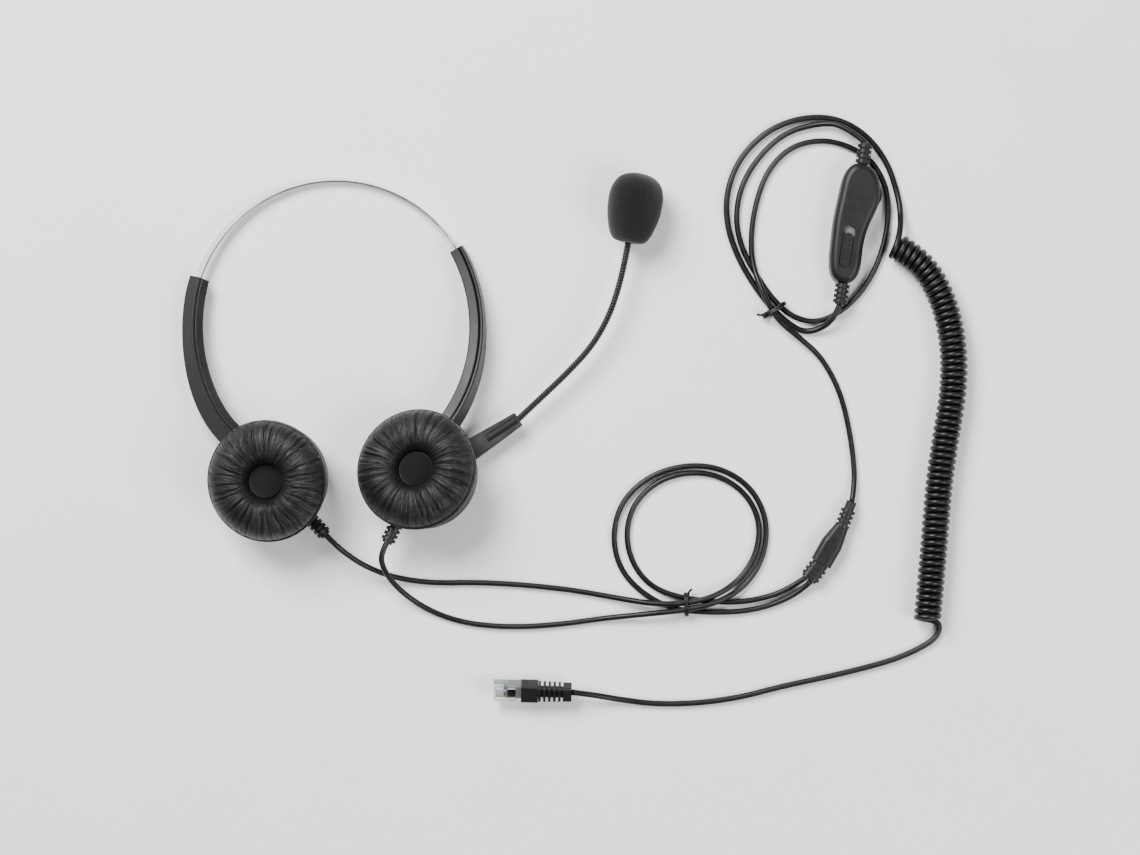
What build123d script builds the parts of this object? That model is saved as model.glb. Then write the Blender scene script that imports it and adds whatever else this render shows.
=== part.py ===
"""Office headset lying flat: sprung headband, two swivelling ear cups, a boom
microphone, a cord with an in-line control pod, and a curly cord to a 4P4C plug.

Frame: millimetres, +X to the right, +Y towards the top of the headband, +Z up from
the surface that the headset lies on. The origin is below the middle of the headset
without its cord, on that surface. The pieces of the headset are placed from the
plane of the headband ring, and those of each cup from the cup's own plane, whose x
axis is the swivel axis and points out of the cup along the cord.
"""

from math import cos, pi, radians, sin, tan
import os

from build123d import *

# ---- driving dimensions -------------------------------------------------------
# headband ring and spring strip
ring_centre_x = -40.0
ring_centre_y = 17.3
ring_centre_z = 8.3
ring_lean = 5.6            # the ring's plane drops towards its top by this angle
ring_radius = 63.8
strip_width = 4.0
strip_thickness = 0.8
strip_hidden_angle = 20.0  # how far the strip reaches into each arm
adjust_angle = 18.0        # how far each arm slides up the strip
slot_clearance = 0.25
strip_step_angle = 8.0

# arms: angle on the ring, radius, thickness, width and roll of each section
left_arm_sections = (
    (162.3, 63.3, 6.3, 7.6, 45.0),
    (180.0, 63.2, 6.4, 8.0, 45.0),
    (196.0, 64.4, 6.5, 8.8, 45.0),
    (208.0, 66.1, 6.6, 9.8, 45.0),
    (219.0, 67.8, 6.6, 10.6, 43.0),
    (229.2, 68.7, 6.6, 10.6, 42.0),
)
right_arm_sections = (
    (30.4, 63.8, 6.2, 7.6, 9.0),
    (14.0, 63.8, 6.4, 8.0, 9.0),
    (-3.0, 64.6, 6.5, 8.8, 10.0),
    (-18.0, 66.1, 6.6, 9.6, 14.0),
    (-29.0, 67.5, 6.7, 10.2, 17.0),
    (-41.2, 69.2, 6.7, 10.6, 20.0),
)
arm_cover_thickness = 1.7
arm_parting_gap = 0.15
arm_edge_radius = 0.6
arm_screw_radius = 0.8
arm_screw_head_radius = 1.5
arm_screw_depth = 1.0
friction_pad_length = 4.4
friction_pad_width = 3.6
friction_pad_thickness = 0.9

# cups: centres and swivel axes in the ring's plane, and the lean of each face
left_cup_centre = (-26.8, -71.0)
left_swivel_direction = (0.692, -0.722)
left_cup_lean = 14.0
right_cup_centre = (39.8, -68.5)
right_swivel_direction = (-0.45, -0.893)
right_cup_lean = 13.0
shell_radius = 24.0
shell_back = -9.0
shell_front = 5.4
shell_wall = 1.6
shell_edge_radius = 3.0
baffle_thickness = 1.3
baffle_radius = 25.2
sound_hole_radius = 0.9
cushion_bottom = 6.9
cushion_top = 20.5
cushion_radius = 27.5
cushion_hole_radius = 7.3
cushion_edge_radius = 6.2
foam_disc_top = 15.5
foam_disc_radius = 7.0
speaker_radius = 14.5
speaker_rim_thickness = 2.0
magnet_radius = 8.0
magnet_thickness = 4.0
cup_screw_count = 3
cup_screw_circle = 18.5
cup_screw_head_radius = 1.9
cup_screw_radius = 1.0
left_cap_radius = 14.0
left_cap_thickness = 3.0
swivel_pin_radius = 2.2
swivel_pin_start = -33.0
swivel_pin_end = -19.0
swivel_collar_radius = 3.4
swivel_collar_thickness = 1.2
running_clearance = 0.12

# ribbed strain reliefs
relief_core_radius = 2.3
relief_rib_radius = 3.3
relief_rib_thickness = 1.5
relief_pitch = 2.3
cup_relief_ribs = 4
pod_relief_ribs = 4
cord_gap = 0.3
exit_run = 5.0

# boom
boom_angle_direction = (41.2, 25.6)
hub_radius = 13.5
hub_bottom = -12.3
hub_top = -9.25
holder_root_distance = 12.0
holder_root_width = 10.8
holder_tip_distance = 48.6
holder_tip_width = 6.2
holder_rib_radius = 1.9
holder_rib_start = 32.0
holder_rib_height = -10.0
boss_radius = 4.0
boss_top = -6.6
washer_radius = 6.5
washer_thickness = 0.8
gooseneck_diameter = 3.2
gooseneck_points = (
    (52.0, -17.8, 8.6),
    (64.0, -6.5, 9.4),
    (75.5, 5.8, 10.4),
    (83.3, 19.5, 11.3),
    (88.0, 34.0, 12.1),
    (91.0, 48.0, 12.7),
    (92.6, 57.0, 12.9),
)
mic_direction = (0.171, 0.985, 0.0)
mic_housing_radius = 4.5
mic_housing_length = 14.0
mic_capsule_radius = 3.0
mic_capsule_length = 4.0
windscreen_length = 31.5
windscreen_start = -5.0
windscreen_bottom_radius = 6.5
windscreen_radius = 12.4

# free cords: diameter and hand-placed route points
cord_diameter = 2.6
curly_diameter = 12.7
left_ear_route = (
    (-33.2, -87.4, 14.8),
    (-24.6, -93.2, 8.8),
    (-12.5, -98.0, 3.4),
    (4.0, -100.4, 1.35),
    (24.0, -100.0, 1.35),
    (46.0, -101.2, 1.35),
    (68.0, -103.6, 1.35),
    (88.0, -107.2, 2.4),
    (103.0, -109.6, 5.1),
    (118.0, -109.4, 5.1),
    (131.5, -106.0, 5.1),
    (143.0, -98.0, 1.35),
    (150.0, -86.0, 1.35),
    (151.0, -72.0, 1.35),
    (144.5, -59.5, 1.35),
    (132.0, -51.6, 1.35),
    (117.5, -50.4, 1.35),
    (104.0, -55.0, 1.35),
    (94.0, -65.0, 1.35),
    (90.6, -78.5, 1.35),
    (93.6, -91.5, 1.35),
    (101.5, -101.5, 1.35),
    (113.0, -106.4, 2.0),
    (128.0, -108.6, 2.0),
    (143.0, -109.0, 1.35),
    (157.0, -106.0, 1.35),
    (166.0, -101.5, 2.4),
)
right_ear_route = (
    (-18.0, -91.8, 16.8),
    (-14.6, -98.4, 11.8),
    (-8.6, -105.0, 6.6),
    (0.0, -111.2, 2.6),
    (11.0, -116.2, 1.35),
    (24.0, -119.2, 1.35),
    (42.0, -120.2, 1.35),
    (62.0, -118.9, 1.35),
    (82.0, -116.0, 1.35),
    (101.0, -114.0, 5.1),
    (117.0, -112.4, 5.1),
    (132.0, -109.0, 5.1),
    (145.0, -101.5, 1.35),
    (153.2, -88.0, 1.35),
    (154.4, -71.5, 1.35),
    (147.0, -56.8, 1.35),
    (133.0, -48.2, 1.35),
    (116.5, -47.2, 1.35),
    (100.5, -52.5, 1.35),
    (88.5, -64.0, 1.35),
    (84.6, -79.5, 1.35),
    (88.0, -94.0, 1.35),
    (97.5, -104.5, 1.35),
    (111.0, -112.0, 2.0),
    (128.0, -113.6, 2.0),
    (146.0, -113.0, 1.35),
    (160.0, -109.0, 1.35),
    (169.5, -103.6, 2.4),
)
trunk_route = (
    (193.6, -56.0, 1.9),
    (193.2, -45.0, 1.35),
    (191.0, -30.0, 1.35),
    (187.0, -14.0, 1.35),
    (179.0, 1.0, 2.0),
    (168.5, 10.0, 5.1),
    (158.5, 18.0, 5.1),
    (152.2, 30.0, 5.1),
    (147.6, 43.0, 1.35),
    (147.0, 57.0, 1.35),
    (149.6, 72.5, 1.35),
    (155.0, 86.0, 1.35),
    (165.0, 96.0, 1.35),
    (179.0, 99.2, 1.35),
    (192.5, 95.8, 1.35),
    (202.4, 88.6, 1.35),
    (208.2, 77.0, 1.35),
    (209.0, 63.0, 1.35),
    (206.0, 48.0, 1.35),
    (199.5, 34.0, 1.35),
    (189.5, 22.8, 1.35),
    (177.0, 16.4, 1.35),
    (165.5, 19.2, 2.0),
    (156.6, 27.4, 2.0),
    (149.2, 38.5, 1.35),
    (142.6, 50.5, 1.35),
    (140.0, 64.0, 1.35),
    (142.6, 78.5, 1.35),
    (150.5, 91.5, 1.35),
    (162.0, 102.0, 1.35),
    (176.5, 106.2, 2.4),
    (188.6, 105.6, 5.0),
)
lead_route = (
    (184.4, 19.2, 6.4),
    (179.0, 14.2, 3.2),
    (171.0, 12.2, 1.35),
    (163.6, 16.4, 2.0),
    (156.0, 23.4, 2.0),
    (148.0, 34.0, 1.35),
    (140.6, 47.0, 1.35),
    (136.0, 61.0, 1.35),
    (136.0, 76.0, 1.35),
    (142.0, 91.0, 1.35),
    (154.0, 103.0, 1.35),
    (169.0, 109.0, 1.35),
    (185.0, 109.0, 1.35),
    (198.6, 101.8, 1.35),
    (208.4, 89.0, 1.35),
    (213.2, 74.0, 1.35),
    (214.2, 65.5, 3.4),
    (213.6, 57.6, 8.6),
    (211.8, 51.4, 11.3),
)
curly_route = (
    (211.6, 51.0, 6.5),
    (221.0, 45.4, 6.5),
    (229.4, 34.5, 6.5),
    (235.0, 20.5, 6.5),
    (237.8, 4.0, 6.5),
    (237.6, -14.0, 6.5),
    (234.2, -34.0, 6.5),
    (231.0, -55.0, 6.5),
    (229.4, -76.0, 6.5),
    (227.6, -97.0, 6.5),
    (225.8, -116.6, 6.5),
)
tail_route = (
    (225.8, -116.6, 1.6),
    (230.2, -117.0, 1.5),
    (232.2, -120.4, 1.35),
    (229.4, -126.2, 1.35),
    (215.0, -133.6, 1.35),
    (198.0, -138.6, 1.35),
    (179.0, -143.0, 1.35),
    (160.0, -147.0, 1.35),
    (142.0, -151.8, 1.35),
    (123.0, -154.4, 1.35),
    (104.0, -154.8, 1.35),
    (88.0, -152.6, 2.2),
    (76.0, -150.2, 6.0),
)

# twist ties
tie_width = 3.0
tie_thickness = 0.5
lower_tie_place = (118.0, -109.8)
upper_tie_place = (157.4, 22.4)
upper_tie_heading = 122.0

# Y splitter
splitter_top = (187.8, -74.6)
splitter_bottom = (178.2, -91.4)
splitter_height = 3.9
splitter_top_size = (6.2, 5.6)
splitter_middle_size = (9.8, 7.6)
splitter_bottom_size = (9.6, 7.0)
splitter_middle_share = 0.48
splitter_relief_top = (192.2, -63.6)
splitter_relief_bottom = (172.6, -98.6)

# control pod, in its own plane: x across it, y up its length
pod_middle = (192.6, 60.8)
pod_heading = (0.151, 0.989)
pod_height = 12.2
pod_parting = 5.7
pod_wall = 1.5
pod_edge_radius = 3.2
pod_relief_height = 6.9
board_bottom = 3.2
board_thickness = 1.0
slot_place = (-1.6, -10.7)
slot_length = 19.0
slot_width = 5.2
knob_length = 15.4
knob_width = 4.6
knob_dimple_radius = 0.35
slider_plate_length = 22.4
slider_plate_width = 6.6
slider_plate_thickness = 0.9
wheel_place = (3.0, 13.6)
wheel_radius = 7.7
wheel_bottom = 5.5
wheel_thickness = 2.6
wheel_shaft_radius = 1.2
pod_screw_places = ((-1.0, 24.0), (-0.8, -24.2))

# plug, in its own frame: x towards the nose, z out of the contact face
plug_back = (66.4, -149.0, 6.8)
plug_direction = (-1.0, 0.03, 0.0)
plug_roll = -28.0
boot_end_length = 3.8
boot_rib_count = 5
boot_rib_length = 11.2
boot_block_length = 7.6
plug_body_length = 12.4
plug_body_width = 7.7
plug_body_height = 6.6
contact_pitch = 1.02
contact_count = 4
latch_length = 11.0
latch_width = 3.2
latch_thickness = 1.0
latch_angle = 9.0

os.makedirs("parts", exist_ok=True)


# ---- helpers ------------------------------------------------------------------
def save(piece, name):
    """Label one finished piece and write its STEP file."""
    piece.part.label = name
    export_step(piece.part, f"parts/{name}.step")


ring = Plane(
    origin=(ring_centre_x, ring_centre_y, ring_centre_z),
    x_dir=(1, 0, 0),
    z_dir=(0, sin(radians(ring_lean)), cos(radians(ring_lean))),
)


def ring_direction(across, up, out):
    """A direction given in the ring's plane, as one in the headset's frame."""
    return ring.from_local_coords(Vector(across, up, out)) - ring.origin


def section_plane(angle, radius, roll):
    """The plane across the band at an angle: x is the band's outward thickness."""
    turn = radians(angle)
    lean = radians(roll)
    outward = ring_direction(cos(turn) * cos(lean), sin(turn) * cos(lean), sin(lean))
    along = ring_direction(-sin(turn), cos(turn), 0)
    place = ring.from_local_coords(Vector(radius * cos(turn), radius * sin(turn), 0))
    return Plane(origin=place, x_dir=outward, z_dir=along)


left_mouth, left_roll = left_arm_sections[0][0], left_arm_sections[0][4]
right_mouth, right_roll = right_arm_sections[0][0], right_arm_sections[0][4]


def strip_roll(angle):
    """The strip keeps each arm's roll as far as that arm slides, and twists between."""
    start = right_mouth + adjust_angle
    end = left_mouth - adjust_angle
    share = min(max((angle - start) / (end - start), 0.0), 1.0)
    return right_roll + share * (left_roll - right_roll)


def strip_sections(first, last, thickness, width):
    """The strip's sections at even steps from one angle to another."""
    steps = round(abs(last - first) / strip_step_angle)
    sections = []
    for step in range(steps + 1):
        angle = first + (last - first) * step / steps
        plane = section_plane(angle, ring_radius, strip_roll(angle))
        with BuildSketch(plane) as section:
            Rectangle(thickness, width)
        sections.append(section.sketch)
    return sections


# ---- spring strip -------------------------------------------------------------
strip_ends = (right_mouth - strip_hidden_angle, left_mouth + strip_hidden_angle)
with BuildPart() as headband_strip:
    loft(strip_sections(*strip_ends, strip_thickness, strip_width))
save(headband_strip, "headband_strip")


# ---- arms ---------------------------------------------------------------------
def arm_plane_at(sections, angle):
    """The section plane of an arm at any angle, between its given sections."""
    ordered = sorted(sections)
    for low, high in zip(ordered, ordered[1:]):
        if low[0] <= angle <= high[0]:
            share = (angle - low[0]) / (high[0] - low[0])
            mixed = [a + share * (b - a) for a, b in zip(low, high)]
            return section_plane(mixed[0], mixed[1], mixed[4]), mixed[2]
    raise ValueError("the angle is outside the arm")


def swivel_plane(centre, direction, lean):
    """A cup's plane: x along its swivel axis, z out of its cushion."""
    place = ring.from_local_coords(Vector(centre[0], centre[1], 0))
    axis = ring_direction(direction[0], direction[1], 0)
    flat = Plane(origin=place, x_dir=axis, z_dir=ring.z_dir)
    face = flat.z_dir.rotate(Axis((0, 0, 0), axis), lean)
    return Plane(origin=place, x_dir=axis, z_dir=face)


left_cup = swivel_plane(left_cup_centre, left_swivel_direction, left_cup_lean)
right_cup = swivel_plane(right_cup_centre, right_swivel_direction, right_cup_lean)


def across_axis(cup, distance):
    """The plane square to a cup's swivel axis at a distance from the cup's centre."""
    place = cup.from_local_coords(Vector(distance, 0, 0))
    return Plane(origin=place, x_dir=cup.y_dir, z_dir=cup.x_dir)


def make_arm(side, sections, cup, slot_sign, screw_angles, pad_angle):
    """Both shells of one arm, its friction pad and its screws."""
    mouth = sections[0][0]
    slot_reach = strip_hidden_angle + adjust_angle + 2
    slot_size = (strip_thickness + 2 * slot_clearance, strip_width + 2 * slot_clearance)
    pad_plane = section_plane(pad_angle, ring_radius, sections[0][4])
    with BuildPart() as inner:
        for angle, radius, thickness, width, roll in sections:
            body = thickness - arm_cover_thickness - arm_parting_gap
            middle = (body - thickness) / 2
            with BuildSketch(section_plane(angle, radius, roll)):
                with Locations((middle, 0)):
                    RectangleRounded(body, width, arm_edge_radius)
        loft()
        slot_ends = (mouth - 3 * slot_sign, mouth + slot_reach * slot_sign)
        loft(strip_sections(*slot_ends, *slot_size), mode=Mode.SUBTRACT)
        pad_room = friction_pad_thickness + slot_clearance
        with BuildSketch(pad_plane.offset(-friction_pad_length / 2 - slot_clearance)):
            with Locations((-(strip_thickness + pad_room) / 2 - 0.05, 0)):
                Rectangle(pad_room + 0.1, friction_pad_width + slot_clearance)
        extrude(amount=friction_pad_length + 2 * slot_clearance, mode=Mode.SUBTRACT)
        with BuildSketch(across_axis(cup, swivel_pin_start - 0.2)):
            Circle(swivel_pin_radius + 0.05)
        extrude(amount=12, mode=Mode.SUBTRACT)
        for angle in screw_angles:
            plane, thickness = arm_plane_at(sections, angle)
            face = Plane(plane.origin, x_dir=plane.z_dir, z_dir=plane.x_dir)
            with BuildSketch(face.offset(-thickness / 2 - 1)):
                Circle(arm_screw_head_radius + running_clearance)
            extrude(amount=arm_screw_depth + 1 + running_clearance, mode=Mode.SUBTRACT)
            with BuildSketch(face.offset(-thickness / 2)):
                Circle(arm_screw_radius + running_clearance)
            extrude(amount=thickness, mode=Mode.SUBTRACT)
    save(inner, f"{side}_arm_inner_shell")

    with BuildPart() as cover:
        for angle, radius, thickness, width, roll in sections:
            middle = (thickness - arm_cover_thickness) / 2
            with BuildSketch(section_plane(angle, radius, roll)):
                with Locations((middle, 0)):
                    RectangleRounded(arm_cover_thickness, width - 0.5, arm_edge_radius)
        loft()
        with BuildSketch(across_axis(cup, swivel_pin_start - 0.2)):
            Circle(swivel_pin_radius + 0.05)
        extrude(amount=12, mode=Mode.SUBTRACT)
    save(cover, f"{side}_arm_cover")

    with BuildPart() as pad:
        with BuildSketch(pad_plane.offset(-friction_pad_length / 2)):
            with Locations((-strip_thickness / 2 - 0.1 - friction_pad_thickness / 2, 0)):
                Rectangle(friction_pad_thickness, friction_pad_width)
        extrude(amount=friction_pad_length)
    save(pad, f"{side}_arm_friction_pad")

    with BuildPart() as screws:
        for angle in screw_angles:
            plane, thickness = arm_plane_at(sections, angle)
            face = Plane(plane.origin, x_dir=plane.z_dir, z_dir=plane.x_dir)
            with BuildSketch(face.offset(-thickness / 2)):
                Circle(arm_screw_head_radius)
            extrude(amount=arm_screw_depth)
            with BuildSketch(face.offset(-thickness / 2)):
                Circle(arm_screw_radius)
            extrude(amount=thickness - arm_cover_thickness - 0.3)
    save(screws, f"{side}_arm_screws")

    with BuildPart() as pin:
        with BuildSketch(across_axis(cup, swivel_pin_start)):
            Circle(swivel_pin_radius)
        extrude(amount=swivel_pin_end - swivel_pin_start)
        collar = -shell_radius + shell_wall + 0.5
        with BuildSketch(across_axis(cup, collar)):
            Circle(swivel_collar_radius)
        extrude(amount=swivel_collar_thickness)
    save(pin, f"{side}_swivel_pin")


make_arm("left", left_arm_sections, left_cup, 1, (212.0, 220.0), 166.0)
make_arm("right", right_arm_sections, right_cup, -1, (-19.0, -30.0), 26.0)


# ---- ear cups -----------------------------------------------------------------
def ribbed_relief(plane, ribs, length):
    """Add a moulded strain relief to the part being built: a core with rings round it."""
    with BuildSketch(plane) as core:
        Circle(relief_core_radius)
    extrude(core.sketch, amount=length)
    for rib in range(ribs):
        with BuildSketch(plane.offset(0.6 + rib * relief_pitch)) as ring_section:
            Circle(relief_rib_radius)
        extrude(ring_section.sketch, amount=relief_rib_thickness)


relief_start = shell_radius + 0.6
relief_length = cup_relief_ribs * relief_pitch + 1.0


def make_cup(side, cup):
    """The pieces that both cups share."""
    back_axis = Axis(cup.origin, cup.z_dir)
    with BuildPart() as shell:
        with BuildSketch(cup.offset(shell_back)):
            Circle(shell_radius)
        extrude(amount=shell_front - shell_back)
        fillet(shell.edges().group_by(back_axis)[0], shell_edge_radius)
        with BuildSketch(cup.offset(shell_back + shell_wall)):
            Circle(shell_radius - shell_wall)
        extrude(amount=shell_front - shell_back, mode=Mode.SUBTRACT)
        with BuildSketch(across_axis(cup, -shell_radius - 1)):
            Circle(swivel_pin_radius + running_clearance)
        extrude(amount=shell_wall + 3, mode=Mode.SUBTRACT)
        with BuildSketch(across_axis(cup, shell_radius - 4)):
            Circle(relief_core_radius + 0.02)
        extrude(amount=5, mode=Mode.SUBTRACT)
        with BuildSketch(cup.offset(shell_back + shell_wall)):
            with PolarLocations(cup_screw_circle, cup_screw_count, start_angle=30):
                Circle(cup_screw_radius + 1.2)
        extrude(amount=shell_front - shell_back - shell_wall - 0.1)
        with BuildSketch(cup.offset(shell_back)):
            with PolarLocations(cup_screw_circle, cup_screw_count, start_angle=30):
                Circle(cup_screw_radius + 0.1)
        extrude(amount=shell_front - shell_back, mode=Mode.SUBTRACT)
        with BuildSketch(cup.offset(shell_back)):
            with PolarLocations(cup_screw_circle, cup_screw_count, start_angle=30):
                Circle(cup_screw_head_radius + 0.1)
        extrude(amount=1.2, mode=Mode.SUBTRACT)
        if side == "right":
            with BuildSketch(cup.offset(shell_back)):
                Circle(boss_radius + running_clearance)
            extrude(amount=shell_wall, mode=Mode.SUBTRACT)
    save(shell, f"{side}_cup_shell")

    with BuildPart() as baffle:
        with BuildSketch(cup.offset(shell_front)):
            Circle(baffle_radius)
        extrude(amount=baffle_thickness)
        with BuildSketch(cup.offset(shell_front)):
            for row_radius, row_count in ((2.4, 6), (4.8, 12)):
                with PolarLocations(row_radius, row_count):
                    Circle(sound_hole_radius)
            Circle(sound_hole_radius)
        extrude(amount=baffle_thickness, mode=Mode.SUBTRACT)
    save(baffle, f"{side}_baffle")

    with BuildPart() as speaker:
        rim_bottom = shell_front - speaker_rim_thickness
        with BuildSketch(cup.offset(rim_bottom)):
            Circle(speaker_radius)
        extrude(amount=speaker_rim_thickness)
        with BuildSketch(cup.offset(rim_bottom - magnet_thickness)):
            Circle(magnet_radius)
        extrude(amount=magnet_thickness)
    save(speaker, f"{side}_speaker")

    with BuildPart() as cushion:
        with BuildSketch(cup.offset(cushion_bottom)):
            Circle(cushion_radius)
        extrude(amount=cushion_top - cushion_bottom)
        fillet(cushion.edges().group_by(back_axis)[-1], cushion_edge_radius)
        fillet(cushion.edges().group_by(back_axis)[0], 1.5)
        with BuildSketch(cup.offset(cushion_bottom)):
            Circle(cushion_hole_radius)
        extrude(amount=cushion_top - cushion_bottom, mode=Mode.SUBTRACT)
        rim = cushion.edges().group_by(back_axis)[-1].sort_by(SortBy.RADIUS)[0]
        fillet(rim, 2.4)
    save(cushion, f"{side}_ear_cushion")

    with BuildPart() as foam:
        with BuildSketch(cup.offset(cushion_bottom)):
            Circle(foam_disc_radius)
        extrude(amount=foam_disc_top - cushion_bottom)
    save(foam, f"{side}_foam_disc")

    with BuildPart() as relief:
        ribbed_relief(across_axis(cup, relief_start), cup_relief_ribs, relief_length)
        with BuildSketch(across_axis(cup, shell_radius - 3.6)):
            Circle(relief_core_radius)
        extrude(amount=relief_start - shell_radius + 3.6)
    save(relief, f"{side}_strain_relief")

    with BuildPart() as screws:
        with BuildSketch(cup.offset(shell_back + 0.1)):
            with PolarLocations(cup_screw_circle, cup_screw_count, start_angle=30):
                Circle(cup_screw_head_radius)
        extrude(amount=1.0)
        with BuildSketch(cup.offset(shell_back + 1.0)):
            with PolarLocations(cup_screw_circle, cup_screw_count, start_angle=30):
                Circle(cup_screw_radius)
        extrude(amount=9.0)
    save(screws, f"{side}_cup_screws")


make_cup("left", left_cup)
make_cup("right", right_cup)

with BuildPart() as left_back_cap:
    with BuildSketch(left_cup.offset(shell_back - left_cap_thickness)):
        Circle(left_cap_radius)
    extrude(amount=left_cap_thickness)
    cap_axis = Axis(left_cup.origin, left_cup.z_dir)
    fillet(left_back_cap.edges().group_by(cap_axis)[0], 1.2)
save(left_back_cap, "left_back_cap")

# ---- boom ---------------------------------------------------------------------
boom_heading = Vector(boom_angle_direction[0], boom_angle_direction[1], 0)
boom_heading = boom_heading - right_cup.z_dir * boom_heading.dot(right_cup.z_dir)
boom = Plane(origin=right_cup.origin, x_dir=boom_heading, z_dir=right_cup.z_dir)
boom_axis = Axis(boom.origin, boom.z_dir)

with BuildPart() as boom_arm:
    with BuildSketch(boom.offset(hub_bottom)):
        Circle(hub_radius)
    extrude(amount=hub_top - hub_bottom)
    fillet(boom_arm.edges().group_by(boom_axis)[0], 1.2)
    with BuildSketch(boom.offset(hub_bottom + 0.1)):
        with BuildLine():
            Polyline(
                (holder_root_distance, -holder_root_width / 2),
                (holder_tip_distance, -holder_tip_width / 2),
                (holder_tip_distance, holder_tip_width / 2),
                (holder_root_distance, holder_root_width / 2),
                close=True,
            )
        make_face()
    extrude(amount=hub_top - hub_bottom - 0.1)
    rib_start = Plane(
        origin=boom.from_local_coords(Vector(holder_rib_start, 0, holder_rib_height)),
        x_dir=boom.y_dir,
        z_dir=boom.x_dir,
    )
    with BuildSketch(rib_start):
        Circle(holder_rib_radius)
    extrude(amount=holder_tip_distance - holder_rib_start - 0.8)
    with BuildSketch(boom.offset(hub_top - 0.2)):
        Circle(boss_radius)
    extrude(amount=boss_top - hub_top + 0.2)
    with BuildSketch(boom.offset(hub_bottom + 1.4)):
        Circle(cup_screw_radius + 0.1)
    extrude(amount=boss_top - hub_bottom, mode=Mode.SUBTRACT)
save(boom_arm, "boom_arm")

with BuildPart() as boom_washer:
    with BuildSketch(boom.offset(boss_top)):
        Circle(washer_radius)
        Circle(cup_screw_radius + 0.1, mode=Mode.SUBTRACT)
    extrude(amount=washer_thickness)
save(boom_washer, "boom_washer")

with BuildPart() as boom_screw:
    with BuildSketch(boom.offset(boss_top + washer_thickness)):
        Circle(cup_screw_head_radius)
    extrude(amount=1.2)
    with BuildSketch(boom.offset(hub_bottom + 1.6)):
        Circle(cup_screw_radius)
    extrude(amount=boss_top + washer_thickness - hub_bottom - 1.6)
save(boom_screw, "boom_screw")


def corner_radii(points):
    """The largest arc radius that each corner's two runs allow."""
    spots = [Vector(point) for point in points]
    radii = []
    for before, corner, after in zip(spots, spots[1:], spots[2:]):
        turn = radians((corner - before).get_angle(after - corner))
        run = min((corner - before).length, (after - corner).length)
        radii.append(0.45 * run / tan(turn / 2))
    return radii


def make_tube(name, points, diameter):
    """One plain round tube along straight runs joined by tangent arcs."""
    radii = corner_radii(points)
    with BuildPart() as tube:
        with BuildLine() as route:
            FilletPolyline(*points, radius=radii)
        path = route.wire()
        with BuildSketch(Plane(origin=path @ 0, z_dir=path % 0)):
            Circle(diameter / 2)
        sweep(path=path)
    expected = pi * diameter**2 / 4 * path.length
    smallest = min(radii)
    print(
        f"{name}: {path.length:.0f} mm, tightest arc {smallest:.1f} mm, "
        f"volume / (section x length) {tube.part.volume / expected:.4f}"
    )
    save(tube, name)


gooseneck_start = boom.from_local_coords(Vector(holder_tip_distance, 0, holder_rib_height - 0.6))
make_tube(
    "boom_gooseneck",
    [tuple(gooseneck_start)] + list(gooseneck_points),
    gooseneck_diameter,
)

mic = Plane(origin=gooseneck_points[-1], x_dir=(0, 0, 1), z_dir=mic_direction)
mic_axis = Axis(mic.origin, mic.z_dir)
with BuildPart() as mic_housing:
    with BuildSketch(mic):
        Circle(mic_housing_radius)
    extrude(amount=mic_housing_length)
    with BuildSketch(mic.offset(mic_housing_length - mic_capsule_length)):
        Circle(mic_capsule_radius + running_clearance)
    extrude(amount=mic_capsule_length, mode=Mode.SUBTRACT)
save(mic_housing, "mic_housing")

with BuildPart() as mic_capsule:
    with BuildSketch(mic.offset(mic_housing_length - mic_capsule_length)):
        Circle(mic_capsule_radius)
    extrude(amount=mic_capsule_length - 0.2)
save(mic_capsule, "mic_capsule")

with BuildPart() as mic_windscreen:
    half_profile = Plane(origin=mic.origin, x_dir=mic.x_dir, z_dir=-mic.y_dir)
    top = windscreen_start + windscreen_length
    with BuildSketch(half_profile):
        with BuildLine():
            Line((0, windscreen_start), (windscreen_bottom_radius, windscreen_start))
            Spline(
                (windscreen_bottom_radius, windscreen_start),
                (windscreen_radius - 2.4, windscreen_start + 5.2),
                (windscreen_radius - 0.2, top - 13.5),
                (windscreen_radius - 2.4, top - 4.6),
                (0, top),
                tangents=((1, 0.3), (-1, 0)),
            )
            Line((0, top), (0, windscreen_start))
        make_face()
    revolve(axis=mic_axis)
    with BuildSketch(mic):
        Circle(mic_housing_radius + 0.1)
    extrude(amount=mic_housing_length + 0.3, mode=Mode.SUBTRACT)
    with BuildSketch(mic.offset(windscreen_start - 1)):
        Circle(gooseneck_diameter / 2 + 0.3)
    extrude(amount=1 - windscreen_start, mode=Mode.SUBTRACT)
save(mic_windscreen, "mic_windscreen")

# ---- free cords ---------------------------------------------------------------
tip = relief_start + relief_length + cord_gap
left_exit = tuple(left_cup.from_local_coords(Vector(tip, 0, 0)))
right_exit = tuple(right_cup.from_local_coords(Vector(tip, 0, 0)))
splitter_top_end = (splitter_relief_top[0], splitter_relief_top[1], splitter_height)
splitter_bottom_end = (splitter_relief_bottom[0], splitter_relief_bottom[1], splitter_height)


def beside(end, sideways):
    """A cord's place at the splitter's double relief, to one side of its middle."""
    return (end[0] - 0.78 * sideways, end[1] + 0.62 * sideways, end[2])


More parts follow.
